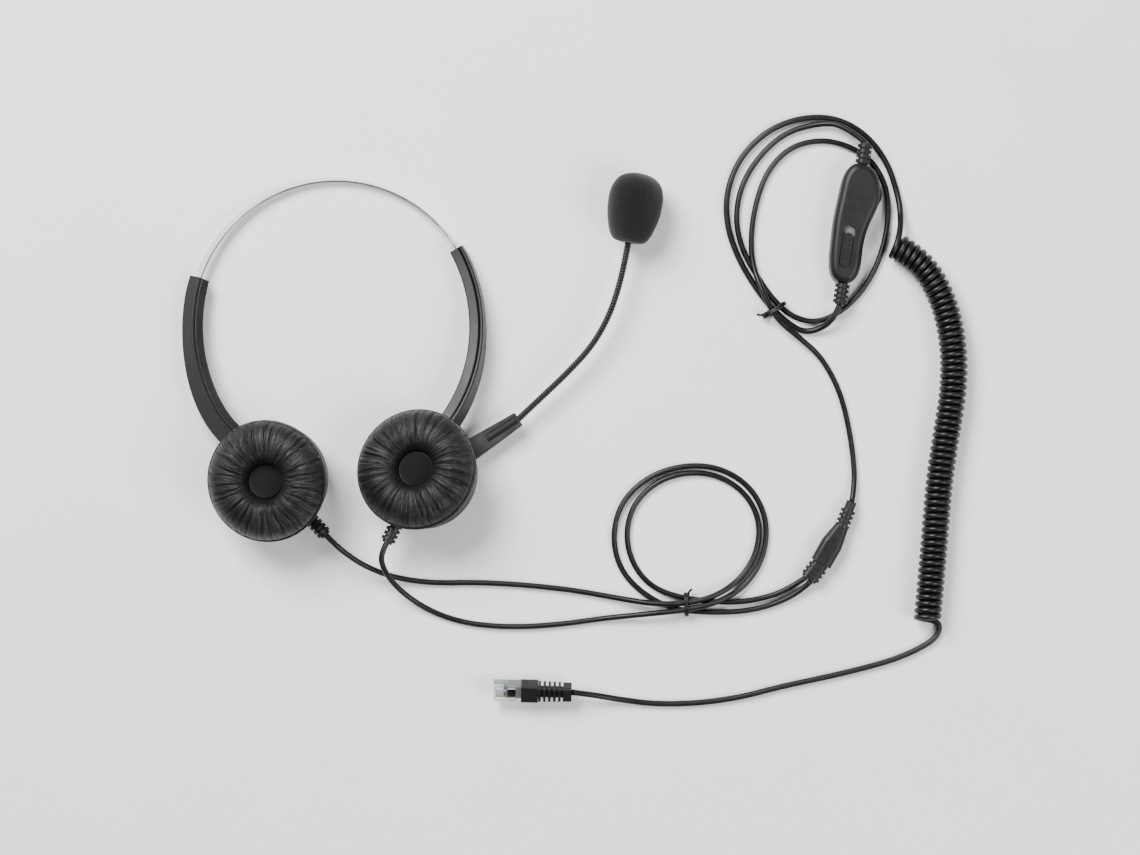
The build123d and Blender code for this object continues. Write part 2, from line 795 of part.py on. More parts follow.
pod = Plane(
    origin=(pod_middle[0], pod_middle[1], 0),
    x_dir=(pod_heading[1], -pod_heading[0], 0),
    z_dir=(0, 0, 1),
)
pod_relief_length = pod_relief_ribs * relief_pitch + 0.6
pod_half_length = 26.8
pod_top_end = tuple(
    pod.from_local_coords(Vector(0, pod_half_length + pod_relief_length, pod_relief_height))
)
pod_bottom_end = tuple(
    pod.from_local_coords(Vector(-0.6, -pod_half_length - pod_relief_length, pod_relief_height))
)
plug_z = Vector(0, 0, 1).rotate(Axis((0, 0, 0), plug_direction), plug_roll)
plug = Plane(origin=plug_back, x_dir=plug_direction, z_dir=plug_z)

double_half_pitch = 1.45
left_end = beside(splitter_bottom_end, double_half_pitch)
right_end = beside(splitter_bottom_end, -double_half_pitch)
left_lead_in = tuple(left_cup.from_local_coords(Vector(tip + exit_run, 0, 0)))
right_lead_in = tuple(right_cup.from_local_coords(Vector(tip + exit_run, 0, 0)))
left_route = [left_exit, left_lead_in, *left_ear_route, left_end]
right_route = [right_exit, right_lead_in, *right_ear_route, right_end]
make_tube("left_ear_cord", left_route, cord_diameter)
make_tube("right_ear_cord", right_route, cord_diameter)
make_tube("trunk_cord", [splitter_top_end, *trunk_route, pod_top_end], cord_diameter)
make_tube("lead_cord", [pod_bottom_end, *lead_route], cord_diameter)
make_tube("curly_cord", list(curly_route), curly_diameter)
make_tube("tail_cord", [*tail_route, plug_back], cord_diameter)


# ---- twist ties ---------------------------------------------------------------
def make_tie(name, place, heading, height, across):
    """A flat wire tie: a rounded band round the bundle and two short ends."""
    along = Vector(cos(radians(heading)), sin(radians(heading)), 0)
    face = Plane(
        origin=Vector(place[0], place[1], height / 2) - along * (tie_width / 2),
        x_dir=(-along.Y, along.X, 0),
        z_dir=along,
    )
    with BuildPart() as tie:
        with BuildSketch(face):
            RectangleRounded(across, height, height / 3)
            RectangleRounded(
                across - 2 * tie_thickness,
                height - 2 * tie_thickness,
                height / 3 - tie_thickness,
                mode=Mode.SUBTRACT,
            )
        extrude(amount=tie_width)
        with BuildSketch(face):
            with Locations((across / 2 + 0.9, 0)):
                Rectangle(2.6, tie_thickness * 2)
        extrude(amount=tie_width)
    save(tie, name)


make_tie("lower_twist_tie", lower_tie_place, 0, 7.2, 11.4)
make_tie("upper_twist_tie", upper_tie_place, upper_tie_heading, 7.2, 13.0)

# ---- Y splitter ---------------------------------------------------------------
with BuildPart() as y_splitter:
    top_place = Vector(*splitter_top, splitter_height)
    bottom_place = Vector(*splitter_bottom, splitter_height)
    run = bottom_place - top_place
    square = Vector(0, 0, 1).cross(run)
    with BuildSketch(Plane(origin=top_place, x_dir=square, z_dir=run)):
        RectangleRounded(*splitter_top_size, 2.2)
    middle_place = top_place + run * splitter_middle_share
    with BuildSketch(Plane(origin=middle_place, x_dir=square, z_dir=run)):
        RectangleRounded(*splitter_middle_size, 2.6)
    with BuildSketch(Plane(origin=bottom_place, x_dir=square, z_dir=run)):
        RectangleRounded(*splitter_bottom_size, 2.4)
    loft(ruled=True)
    top_out = Vector(*splitter_top_end) - top_place
    top_plane = Plane(origin=top_place - top_out * 0.1, z_dir=top_out)
    ribbed_relief(top_plane, 4, top_out.length * 1.1)
    bottom_out = Vector(*splitter_bottom_end) - bottom_place
    bottom_plane = Plane(
        origin=bottom_place - bottom_out * 0.15,
        x_dir=Vector(0, 0, 1).cross(bottom_out),
        z_dir=bottom_out,
    )
    with BuildSketch(bottom_plane):
        SlotOverall(7.4, 4.6)
    extrude(amount=bottom_out.length * 1.15)
    for rib in range(3):
        with BuildSketch(bottom_plane.offset(3.2 + rib * relief_pitch)):
            SlotOverall(9.0, 6.2)
        extrude(amount=relief_rib_thickness)
save(y_splitter, "y_splitter")

# ---- control pod --------------------------------------------------------------
pod_outline_points = (
    (-0.2, 26.9),
    (-4.5, 25.9),
    (-7.2, 21.4),
    (-8.3, 13.0),
    (-9.0, 1.5),
    (-8.7, -10.0),
    (-7.7, -20.2),
    (-5.2, -25.6),
    (-1.2, -26.9),
    (3.0, -25.9),
    (5.4, -21.8),
    (5.8, -13.0),
    (6.2, -3.5),
    (8.2, 4.6),
    (9.8, 11.4),
    (9.2, 17.8),
    (7.3, 22.8),
    (4.0, 26.1),
)


pod_cavity_scale = (0.81, 0.935)


def pod_outline(scale_x=1.0, scale_y=1.0):
    """Draw the pod's outline: a slim teardrop with a bulge over the wheel."""
    points = [(x * scale_x, y * scale_y) for x, y in pod_outline_points]
    with BuildLine() as outline:
        Spline(*points, periodic=True)
    make_face(outline.edges())


def slot_sketch(plane, length, width, place):
    """A lengthwise slot shape on one of the pod's planes."""
    with BuildSketch(plane) as slot:
        with Locations(place):
            SlotOverall(length, width, rotation=90)
    return slot.sketch


wheel_room = 0.4
pod_axis = Axis(pod.origin, pod.z_dir)
with BuildPart() as pod_top_shell:
    with BuildSketch(pod.offset(pod_parting + 0.1)):
        pod_outline()
    extrude(amount=pod_height - pod_parting - 0.1)
    fillet(pod_top_shell.edges().group_by(pod_axis)[-1], pod_edge_radius)
    with BuildSketch(pod.offset(pod_parting + 0.1)):
        pod_outline(*pod_cavity_scale)
    extrude(amount=pod_height - pod_parting - 0.1 - pod_wall, mode=Mode.SUBTRACT)
    slot = slot_sketch(pod.offset(pod_parting), slot_length, slot_width, slot_place)
    extrude(slot, amount=pod_height, mode=Mode.SUBTRACT)
    with BuildSketch(pod.offset(pod_parting)):
        with Locations(wheel_place):
            Circle(wheel_radius + wheel_room)
    extrude(amount=wheel_bottom + wheel_thickness + wheel_room - pod_parting, mode=Mode.SUBTRACT)
    with BuildSketch(pod.offset(pod_parting + 0.1)):
        with Locations(*pod_screw_places):
            Circle(1.9)
            Circle(0.75, mode=Mode.SUBTRACT)
    extrude(amount=3.0)
save(pod_top_shell, "pod_top_shell")

with BuildPart() as pod_bottom_shell:
    with BuildSketch(pod):
        pod_outline()
    extrude(amount=pod_parting - 0.1)
    fillet(pod_bottom_shell.edges().group_by(pod_axis)[0], 1.6)
    with BuildSketch(pod.offset(pod_wall)):
        pod_outline(*pod_cavity_scale)
    extrude(amount=pod_parting, mode=Mode.SUBTRACT)
    with BuildSketch(pod.offset(wheel_bottom - wheel_room)):
        with Locations(wheel_place):
            Circle(wheel_radius + wheel_room)
    extrude(amount=pod_parting, mode=Mode.SUBTRACT)
    with BuildSketch(pod.offset(pod_wall - 0.1)):
        with Locations(*pod_screw_places):
            Circle(1.9)
    extrude(amount=pod_parting - pod_wall)
    with BuildSketch(pod):
        with Locations(*pod_screw_places):
            Circle(0.95)
    extrude(amount=pod_parting, mode=Mode.SUBTRACT)
    with BuildSketch(pod):
        with Locations(*pod_screw_places):
            Circle(1.75)
    extrude(amount=1.6, mode=Mode.SUBTRACT)
save(pod_bottom_shell, "pod_bottom_shell")

with BuildPart() as pod_screws:
    with BuildSketch(pod.offset(0.5)):
        with Locations(*pod_screw_places):
            Circle(1.6)
    extrude(amount=1.0)
    with BuildSketch(pod.offset(1.0)):
        with Locations(*pod_screw_places):
            Circle(0.7)
    extrude(amount=6.5)
save(pod_screws, "pod_screws")

board_top = board_bottom + board_thickness
with BuildPart() as pod_circuit_board:
    with BuildSketch(pod.offset(board_bottom)):
        with Locations((-1.3, 0)):
            RectangleRounded(9.6, 40.0, 1.0)
    extrude(amount=board_thickness)
    with BuildSketch(pod.offset(pod_wall)):
        with Locations((-1.3, 12), (-1.3, -12)):
            Circle(1.5)
    extrude(amount=board_bottom - pod_wall)
save(pod_circuit_board, "pod_circuit_board")

with BuildPart() as mute_switch:
    with BuildSketch(pod.offset(board_top)):
        with Locations(slot_place):
            Rectangle(4.4, 9.0)
    extrude(amount=3.4)
save(mute_switch, "mute_switch")

knob_middle = (slot_place[0], slot_place[1] - (slot_length - knob_length) / 2 + 0.2)
plate_top = pod_height - pod_wall - 0.15
with BuildPart() as mute_slider:
    knob = slot_sketch(pod.offset(plate_top), knob_length, knob_width, knob_middle)
    extrude(knob, amount=pod_height - plate_top + 0.2)
    with BuildSketch(pod.offset(pod_height + 0.2 - 0.35)):
        with Locations(knob_middle):
            with GridLocations(2.0, 2.2, 2, 5):
                Circle(knob_dimple_radius)
    extrude(amount=1.0, mode=Mode.SUBTRACT)
save(mute_slider, "mute_slider")

with BuildPart() as slider_plate:
    plane = pod.offset(plate_top - slider_plate_thickness)
    plate = slot_sketch(plane, slider_plate_length, slider_plate_width, knob_middle)
    extrude(plate, amount=slider_plate_thickness)
    with BuildSketch(pod.offset(board_top + 3.6)):
        with Locations(knob_middle):
            Rectangle(1.4, 2.0)
    extrude(amount=plate_top - board_top - 3.6 - 0.2)
save(slider_plate, "slider_plate")

with BuildPart() as volume_wheel:
    with BuildSketch(pod.offset(wheel_bottom)):
        with Locations(wheel_place):
            Circle(wheel_radius)
            with PolarLocations(wheel_radius, 36):
                Circle(0.22, mode=Mode.SUBTRACT)
    extrude(amount=wheel_thickness)
save(volume_wheel, "volume_wheel")

with BuildPart() as volume_pot:
    with BuildSketch(pod.offset(board_top)):
        with Locations((wheel_place[0] - 1.4, wheel_place[1])):
            Rectangle(5.6, 6.0)
    extrude(amount=wheel_bottom - board_top - 0.15)
save(volume_pot, "volume_pot")

with BuildPart() as pod_top_relief:
    place = pod.from_local_coords(Vector(0, pod_half_length + 0.1, pod_relief_height))
    ribbed_relief(
        Plane(origin=place, x_dir=pod.x_dir, z_dir=pod.y_dir), pod_relief_ribs, pod_relief_length - 0.1
    )
save(pod_top_relief, "pod_top_relief")

with BuildPart() as pod_bottom_relief:
    place = pod.from_local_coords(Vector(-0.6, -pod_half_length - 0.1, pod_relief_height))
    ribbed_relief(
        Plane(origin=place, x_dir=-pod.x_dir, z_dir=-pod.y_dir), pod_relief_ribs, pod_relief_length - 0.1
    )
save(pod_bottom_relief, "pod_bottom_relief")


# ---- plug ---------------------------------------------------------------------
def plug_section(distance):
    """The plane across the plug at a distance from the back of its boot."""
    place = plug.from_local_coords(Vector(distance, 0, 0))
    return Plane(origin=place, x_dir=plug.y_dir, z_dir=plug.x_dir)


block_start = boot_end_length + boot_rib_length
body_start = block_start + boot_block_length
with BuildPart() as plug_boot:
    with BuildSketch(plug_section(0)):
        RectangleRounded(7.2, 6.6, 1.2)
    extrude(amount=boot_end_length)
    with BuildSketch(plug_section(boot_end_length)):
        RectangleRounded(4.4, 4.2, 1.0)
    extrude(amount=boot_rib_length)
    for rib in range(boot_rib_count):
        rib_pitch = boot_rib_length / boot_rib_count
        start = boot_end_length + rib_pitch * (rib + 0.45)
        with BuildSketch(plug_section(start)):
            RectangleRounded(7.6 + 0.1 * rib, 7.0 + 0.1 * rib, 1.6)
        extrude(amount=rib_pitch * 0.5)
    with BuildSketch(plug_section(block_start)):
        RectangleRounded(plug_body_width + 0.6, plug_body_height + 0.8, 0.8)
    extrude(amount=boot_block_length)
save(plug_boot, "plug_boot")

with BuildPart() as plug_body:
    with BuildSketch(plug_section(body_start)):
        RectangleRounded(plug_body_width, plug_body_height, 0.4)
    extrude(amount=plug_body_length)
    with BuildSketch(plug.offset(plug_body_height / 2 - 1.4)):
        with Locations((body_start + plug_body_length - 3.2, 0)):
            with GridLocations(1, contact_pitch, 1, contact_count):
                Rectangle(5.0, 0.62)
    extrude(amount=2.0, mode=Mode.SUBTRACT)
    with BuildSketch(plug.offset(plug_body_height / 2 - 1.8)):
        with Locations((body_start + 4.2, 0)):
            Rectangle(3.6, 5.2)
    extrude(amount=2.0, mode=Mode.SUBTRACT)
save(plug_body, "plug_body")

with BuildPart() as plug_contacts:
    with BuildSketch(plug.offset(plug_body_height / 2 - 1.3)):
        with Locations((body_start + plug_body_length - 3.2, 0)):
            with GridLocations(1, contact_pitch, 1, contact_count):
                Rectangle(4.6, 0.36)
    extrude(amount=0.9)
save(plug_contacts, "plug_contacts")

latch_root = plug.from_local_coords(
    Vector(body_start + plug_body_length - 0.4, 0, -plug_body_height / 2 - 0.2)
)
latch_back = (-plug.x_dir).rotate(Axis((0, 0, 0), plug.y_dir), -latch_angle)
latch = Plane(origin=latch_root, x_dir=latch_back, z_dir=latch_back.cross(plug.y_dir))
with BuildPart() as plug_latch:
    with BuildSketch(latch):
        with Locations((latch_length / 2, 0)):
            RectangleRounded(latch_length, latch_width, 0.6)
    extrude(amount=latch_thickness)
save(plug_latch, "plug_latch")



def shown(vector):
    """A vector as rounded text."""
    return ", ".join(f"{value:.4f}" for value in tuple(vector))


print("left cup centre", shown(left_cup.origin), "axis", shown(left_cup.x_dir))
print("right cup centre", shown(right_cup.origin), "axis", shown(right_cup.x_dir))
print("left face", shown(left_cup.z_dir), "right face", shown(right_cup.z_dir))
print("left cord", shown(left_exit), "then", shown(left_lead_in), "to", shown(left_end))
print("right cord", shown(right_exit), "then", shown(right_lead_in), "to", shown(right_end))
print("splitter top", shown(splitter_top_end), "pod ends", shown(pod_top_end), "and", shown(pod_bottom_end))
print("gooseneck start", shown(gooseneck_start), "boom x", shown(boom.x_dir))
print("latch root", shown(latch_root), "plug y", shown(plug.y_dir), "latch z", shown(latch.z_dir))
nose = plug.from_local_coords(Vector(body_start + plug_body_length, 0, 0))
print("plug nose", shown(nose), "plug z", shown(plug.z_dir), "boot end", shown(plug_section(block_start).origin))
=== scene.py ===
# %% [markdown]
# # A wired office headset, coiled up on a table
#
# The headset is a steel strip with two sliding arms, a round ear cup on each arm, a boom with a
# foam windscreen, and a long cord with a mute and volume pod on the way to its modular plug.
# The hard parts were drawn in CAD and arrive here as a frame that is never moved. Blender adds
# what CAD is poor at: leatherette that gathers, foam, cords with a real lie, and every finish.

import math
import random

import bpy
from mathutils import Matrix, Vector, noise


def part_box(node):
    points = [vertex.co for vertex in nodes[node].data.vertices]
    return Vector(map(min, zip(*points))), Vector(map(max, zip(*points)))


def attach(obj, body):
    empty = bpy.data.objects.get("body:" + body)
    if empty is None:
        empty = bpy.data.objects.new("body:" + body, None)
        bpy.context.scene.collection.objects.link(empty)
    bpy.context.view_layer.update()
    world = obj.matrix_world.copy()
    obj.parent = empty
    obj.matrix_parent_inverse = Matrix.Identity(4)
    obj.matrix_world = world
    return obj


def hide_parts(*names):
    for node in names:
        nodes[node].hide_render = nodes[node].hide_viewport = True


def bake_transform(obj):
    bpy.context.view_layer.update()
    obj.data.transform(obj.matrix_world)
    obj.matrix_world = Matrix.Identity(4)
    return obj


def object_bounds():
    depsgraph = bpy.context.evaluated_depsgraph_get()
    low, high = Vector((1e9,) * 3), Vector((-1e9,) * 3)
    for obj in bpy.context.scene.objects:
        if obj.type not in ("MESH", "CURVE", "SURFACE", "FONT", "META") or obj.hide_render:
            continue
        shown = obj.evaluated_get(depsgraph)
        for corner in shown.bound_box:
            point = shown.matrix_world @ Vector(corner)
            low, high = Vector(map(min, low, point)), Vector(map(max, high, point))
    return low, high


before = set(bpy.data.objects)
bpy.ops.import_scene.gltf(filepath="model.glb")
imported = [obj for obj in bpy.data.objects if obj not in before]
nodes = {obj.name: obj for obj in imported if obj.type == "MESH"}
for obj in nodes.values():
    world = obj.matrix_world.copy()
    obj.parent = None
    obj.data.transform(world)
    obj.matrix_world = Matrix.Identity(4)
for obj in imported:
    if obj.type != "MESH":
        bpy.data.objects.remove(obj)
cad_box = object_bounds()
millimetre = 0.001
print(len(nodes), "CAD nodes, box", [[round(value, 4) for value in corner] for corner in cad_box])

# %% [markdown]
# ## Nodes and colours
#
# A node tree could be wired by hand in the editor. In a script, one small function that adds a
# node, sets it and links it keeps each finish down to the few lines that say what it is. Two
# more add what nearly every finish has: colours and roughness that drift, and a bump. Colours are
# picked as sRGB hex, as on a paint chart, and shaders work in linear light, so one function
# turns the one into the other.


# %% Functions for nodes, colours and bumps
def add_node(tree, kind, inputs=None, **settings):
    """Adds a node, gives it its settings, and sets or links its inputs."""
    node = tree.nodes.new(kind)
    for name, value in settings.items():
        setattr(node, name, value)
    for name, value in (inputs or {}).items():
        if isinstance(value, bpy.types.NodeSocket):
            tree.links.new(value, node.inputs[name])
        else:
            node.inputs[name].default_value = value
    return node


def colour(hex_code):
    """An sRGB hex colour as the linear colour that a shader takes."""
    linear = []
    for start in (0, 2, 4):
        value = int(hex_code[start : start + 2], 16) / 255
        linear.append(value / 12.92 if value <= 0.04045 else ((value + 0.055) / 1.055) ** 2.4)
    return (*linear, 1.0)


def new_finish(name, hex_code, roughness, **shader_values):
    """A material with one Principled shader. Returns the material, its tree and the shader."""
    material = bpy.data.materials.new(name)
    material.use_nodes = True
    tree = material.node_tree
    shader = tree.nodes["Principled BSDF"]
    shader.inputs["Base Color"].default_value = colour(hex_code)
    shader.inputs["Roughness"].default_value = roughness
    for socket, value in shader_values.items():
        shader.inputs[socket.replace("_", " ")].default_value = value
    return material, tree, shader


def two_tones(tree, factor, dark, light):
    """Mixes two hex colours by a factor socket and returns the colour socket."""
    inputs = {0: factor, 6: colour(dark), 7: colour(light)}
    return add_node(tree, "ShaderNodeMix", inputs, data_type="RGBA").outputs[2]


def grain(tree, size, detail=3.0, vector=None):
    """Noise whose lumps are about size metres across, on Object coordinates."""
    if vector is None:
        vector = add_node(tree, "ShaderNodeTexCoord").outputs["Object"]
    inputs = {"Vector": vector, "Scale": 1 / size, "Detail": detail, "Roughness": 0.6}
    return add_node(tree, "ShaderNodeTexNoise", inputs).outputs["Fac"]


def spread(tree, factor, low, high):
    """Turns a factor from 0 to 1 into a value from low to high."""
    inputs = {"Value": factor, "From Min": 0.3, "From Max": 0.7, "To Min": low, "To Max": high}
    return add_node(tree, "ShaderNodeMapRange", inputs).outputs["Result"]


def tint(tree, shader, factor, colours, roughness):
    """Gives the shader two mixed colours and two mixed roughnesses, all by one factor."""
    tree.links.new(two_tones(tree, factor, *colours), shader.inputs["Base Color"])
    tree.links.new(spread(tree, factor, *roughness), shader.inputs["Roughness"])


def bump(tree, shader, height, strength, distance, under=None):
    """Gives the shader a bump, on top of the normals of the node under if there is one."""
    inputs = {"Strength": strength, "Distance": distance * millimetre, "Height": height}
    if under is not None:
        inputs["Normal"] = under.outputs["Normal"]
    node = add_node(tree, "ShaderNodeBump", inputs)
    tree.links.new(node.outputs["Normal"], shader.inputs["Normal"])
    return node


print("black ABS in linear light", [round(value, 4) for value in colour("0b0b0c")])

# %% [markdown]
# ## Moulded plastics
#
# The arms, cups, boom hub and pod are ABS, injected into a tool whose cavity was spark eroded.
# That leaves a fine even grain that spreads each highlight, and a mould's edges are never quite
# sharp. A bump on Object coordinates gives the grain, and a Bevel node rounds the edges that
# CAD left sharp. The real grain is about 0.1 mm, too fine to show, so it is drawn at 0.5 mm.


# %% ABS and PVC
def moulded_abs(name, dark, light, roughness):
    """Spark-eroded ABS: satin, with a grain that softens highlights and slightly round edges."""
    material, tree, shader = new_finish(name, dark, roughness, Specular_IOR_Level=0.35)
    cloudy = grain(tree, 9 * millimetre, detail=2.0)
    fine = grain(tree, 0.5 * millimetre)
    edge = add_node(tree, "ShaderNodeBevel", {"Radius": 0.3 * millimetre}, samples=4)
    bump(tree, shader, fine, 0.18, 0.03, under=edge)
    tint(tree, shader, cloudy, (dark, light), (roughness - 0.05, roughness + 0.06))
    return material


def soft_pvc(name, dark, light, roughness):
    """Plasticised PVC: it sweats a little, so it is glossier in patches and very faintly uneven."""
    material, tree, shader = new_finish(name, dark, roughness, Specular_IOR_Level=0.35)
    patches = grain(tree, 5 * millimetre, detail=2.0)
    skin = grain(tree, 0.8 * millimetre)
    bump(tree, shader, skin, 0.15, 0.05)
    tint(tree, shader, patches, (dark, light), (roughness - 0.08, roughness + 0.08))
    return material


# Dark satin ABS: near black, with a broad soft highlight.
black_abs = moulded_abs("satin_black_abs", "0b0b0c", "111113", 0.46)
# The boom's hub and holder: the same ABS from a coarser, duller tool.
matt_abs = moulded_abs("matt_black_abs", "060607", "0a0a0b", 0.62)
# The arms' side faces: the same ABS in the same tool grain, a lighter copy whose colour is painted light
# where these faces catch the lamp.
painted_light_arm_abs = moulded_abs("painted_light_side_abs", "101012", "17171a", 0.42)
# Grey ABS under the slider. It shows as a light crescent in its slot.
grey_abs = moulded_abs("light_grey_abs", "5c5f63", "6b6e72", 0.45)
# Cord jacket and strain reliefs: flexible PVC with a satin skin.
cord_pvc = soft_pvc("satin_black_pvc", "070708", "0c0c0d", 0.40)
relief_pvc = soft_pvc("moulded_pvc", "09090a", "0f0f10", 0.48)
# The paper-backed tie that the cord shipped with: plastic film over a wire.
tie_film = soft_pvc("tie_film", "070708", "101011", 0.32)
plastics = (black_abs, matt_abs, painted_light_arm_abs, grey_abs, cord_pvc, relief_pvc, tie_film)
print("plastics:", [item.name for item in plastics])

# %% [markdown]
# ## Metals
#
# The strip is spring steel, ground and polished along its length, so its highlight is drawn out
# across it. The strip is bent round one upright axis, so scratches that run along it lie in
# level planes: a noise squeezed in X and Y and left fine in Z gives them all the way round.
# The screws are zinc plated and a little cloudy.


# %% Steel, coated steel, gold
def polished_strip(name):
    """Polished spring steel: bright, with fine scratches along the bend."""
    material, tree, shader = new_finish(name, "dfe1e4", 0.2, Metallic=1.0)
    place = add_node(tree, "ShaderNodeTexCoord").outputs["Object"]
    drawn_out = add_node(tree, "ShaderNodeMapping", {"Vector": place, "Scale": (0.04, 0.04, 1)})
    scratches = grain(tree, 0.4 * millimetre, detail=2.0, vector=drawn_out.outputs["Vector"])
    bump(tree, shader, scratches, 0.1, 0.01)
    tint(tree, shader, scratches, ("cfd2d6", "ecedef"), (0.12, 0.26))
    return material


def plated(name, dark, light, roughness):
    """Plated metal: a thin bright coat with faint clouds where the bath was uneven."""
    material, tree, shader = new_finish(name, light, roughness, Metallic=1.0)
    clouds = grain(tree, 1.5 * millimetre)
    tint(tree, shader, clouds, (dark, light), (roughness, roughness + 0.15))
    return material


def coated_steel(name):
    """Black coated steel of the flexible stay: semi-gloss, lighter and duller in random patches."""
    material, tree, shader = new_finish(name, "0a0a0b", 0.36)
    worn = grain(tree, 2 * millimetre)
    tint(tree, shader, worn, ("070708", "111113"), (0.28, 0.44))
    return material


spring_steel = polished_strip("polished_spring_steel")
zinc_steel = plated("zinc_plated_steel", "8f9296", "b9bcc0", 0.3)
can_metal = plated("drawn_aluminium_can", "9a9da1", "c3c6ca", 0.35)
gold_contact = plated("gold_plated_bronze", "c99a45", "e3bd6d", 0.2)
stay_steel = coated_steel("black_coated_steel")
print("metals:", [item.name for item in (spring_steel, zinc_steel, can_metal, gold_contact, stay_steel)])

# %% [markdown]
# ## Leatherette, foam, clear plastic and board
#
# Leatherette is vinyl on a knit: it takes a pebble grain from the roller and gathers into fine
# creases where it is pulled round the cushion's rim. The creases run from the hole outwards, so
# the cushion meshes carry an attribute that goes once round the cup, and the noise is read from
# that. Read from Object coordinates, the creases would run all one way. Foam is open cells of
# about 0.4 mm, drawn at 0.6 mm so that they show.


# %% Soft and clear finishes
def creased_leatherette(name):
    """Vinyl leatherette: dark, semi-gloss on top of each fold, with gathers across the rim, painted shade
    along the creases and a painted highlight on top of the folds.
    """
    material, tree, shader = new_finish(name, "0a0a0b", 0.45, Specular_IOR_Level=0.4)
    gather = add_node(tree, "ShaderNodeAttribute", attribute_name="gather")
    inputs = {"Vector": gather.outputs["Vector"], "Scale": 1.0, "Detail": 4.0}
    inputs = {**inputs, "Roughness": 0.65, "Distortion": 0.35}
    fine = add_node(tree, "ShaderNodeTexNoise", inputs).outputs["Fac"]
    wandering = grain(tree, 2.4, detail=1.5, vector=gather.outputs["Vector"])
    from_middle = add_node(tree, "ShaderNodeMath", {0: wandering, 1: 0.5}, operation="SUBTRACT")
    beside_line = add_node(tree, "ShaderNodeMath", {0: from_middle.outputs[0]}, operation="ABSOLUTE")
    limits = {"Value": beside_line.outputs[0], "From Min": 0.0, "From Max": 0.028}
    line = add_node(tree, "ShaderNodeMapRange", limits).outputs["Result"]
    inputs = {0: line, 1: 0.7, 2: fine}
    height = add_node(tree, "ShaderNodeMath", inputs, operation="MULTIPLY_ADD").outputs[0]
    # Painted shade and highlight: the colour is darkest along the crease lines and lighter where the fine
    # folds stand highest.
    painted_fold_shading = add_node(tree, "ShaderNodeMath", {0: line, 1: fine}, operation="MULTIPLY").outputs[0]
    folds = bump(tree, shader, height, 0.8, 0.45)
    bump(tree, shader, grain(tree, 0.6 * millimetre), 0.2, 0.06, under=folds)
    tree.links.new(two_tones(tree, painted_fold_shading, "020202", "161618"), shader.inputs["Base Color"])
    tree.links.new(spread(tree, fine, 0.55, 0.40), shader.inputs["Roughness"])
    return material


def open_cell_foam(name, dark, light):
    """Reticulated polyurethane foam: matte, with cells that catch a little light."""
    material, tree, shader = new_finish(name, dark, 0.92, Specular_IOR_Level=0.1)
    place = add_node(tree, "ShaderNodeTexCoord").outputs["Object"]
    inputs = {"Vector": place, "Scale": 1 / (0.6 * millimetre), "Randomness": 1.0}
    cells = add_node(tree, "ShaderNodeTexVoronoi", inputs).outputs["Distance"]
    mottle = grain(tree, 2.2 * millimetre)
    bump(tree, shader, cells, 0.6, 0.3)
    tree.links.new(two_tones(tree, mottle, dark, light), shader.inputs["Base Color"])
    shader.inputs["Sheen Weight"].default_value = 0.15
    shader.inputs["Sheen Roughness"].default_value = 0.6
    return material


def clear_polycarbonate(name):
    """Clear moulded polycarbonate: glassy, with faint flow marks from the gate."""
    material, tree, shader = new_finish(name, "eef3f5", 0.05, IOR=1.585, Transmission_Weight=0.9)
    flow = grain(tree, 2.5 * millimetre, detail=1.0)
    bump(tree, shader, flow, 0.12, 0.1)
    tree.links.new(spread(tree, flow, 0.03, 0.1), shader.inputs["Roughness"])
    return material


leatherette = creased_leatherette("gathered_leatherette")
foam = open_cell_foam("open_cell_foam", "060607", "101011")
# The disc down the cushion's hole: a darker copy of the foam, painted shade for the shade in the hole.
painted_hole_shade_foam = open_cell_foam("foam_with_painted_hole_shade", "040404", "0a0a0b")
polycarbonate = clear_polycarbonate("clear_polycarbonate")
board = moulded_abs("solder_mask", "12351f", "1c4a2c", 0.3)
print("soft and clear:", [item.name for item in (leatherette, foam, painted_hole_shade_foam, polycarbonate, board)])

# %% [markdown]
# ## The finish of each CAD part
#
# The shapes of the hard parts are right already, so they only change material. Each name is
# looked up once, and a part with no finish would stop the script, so none is left plain.

# %% Give each CAD node its material
node_finish = {
    "headband_strip": spring_steel,
    "boom_arm": matt_abs,
    "boom_washer": zinc_steel,
    "boom_screw": zinc_steel,
    "boom_gooseneck": stay_steel,
    "mic_housing": black_abs,
    "mic_capsule": can_metal,
    "mic_windscreen": foam,
    "lower_twist_tie": tie_film,
    "upper_twist_tie": tie_film,
    "y_splitter": relief_pvc,
    "pod_top_shell": black_abs,
    "pod_bottom_shell": black_abs,
    "pod_screws": zinc_steel,
    "pod_circuit_board": board,
    "mute_switch": can_metal,
    "volume_pot": can_metal,
    "pod_top_relief": relief_pvc,
    "pod_bottom_relief": relief_pvc,
    "mute_slider": black_abs,
    "slider_plate": grey_abs,
    "volume_wheel": black_abs,
    "plug_boot": relief_pvc,
    "plug_body": polycarbonate,
    "plug_contacts": gold_contact,
    "plug_latch": polycarbonate,
}
for cord_node in ("left_ear_cord", "right_ear_cord", "trunk_cord", "lead_cord", "curly_cord", "tail_cord"):
    node_finish[cord_node] = cord_pvc
sided_finish = {
    # The inner shells take the lighter ABS, whose lighter colour is painted light on the side faces.
    "arm_inner_shell": painted_light_arm_abs,
    "arm_cover": black_abs,
    "arm_friction_pad": foam,
    "arm_screws": zinc_steel,
    "swivel_pin": zinc_steel,
    "cup_shell": black_abs,
    "baffle": black_abs,
    "speaker": can_metal,
    "ear_cushion": leatherette,
    "foam_disc": painted_hole_shade_foam,
    "strain_relief": relief_pvc,
    "cup_screws": zinc_steel,
}
for side in ("left", "right"):
    for part_name, material in sided_finish.items():
        node_finish[f"{side}_{part_name}"] = material
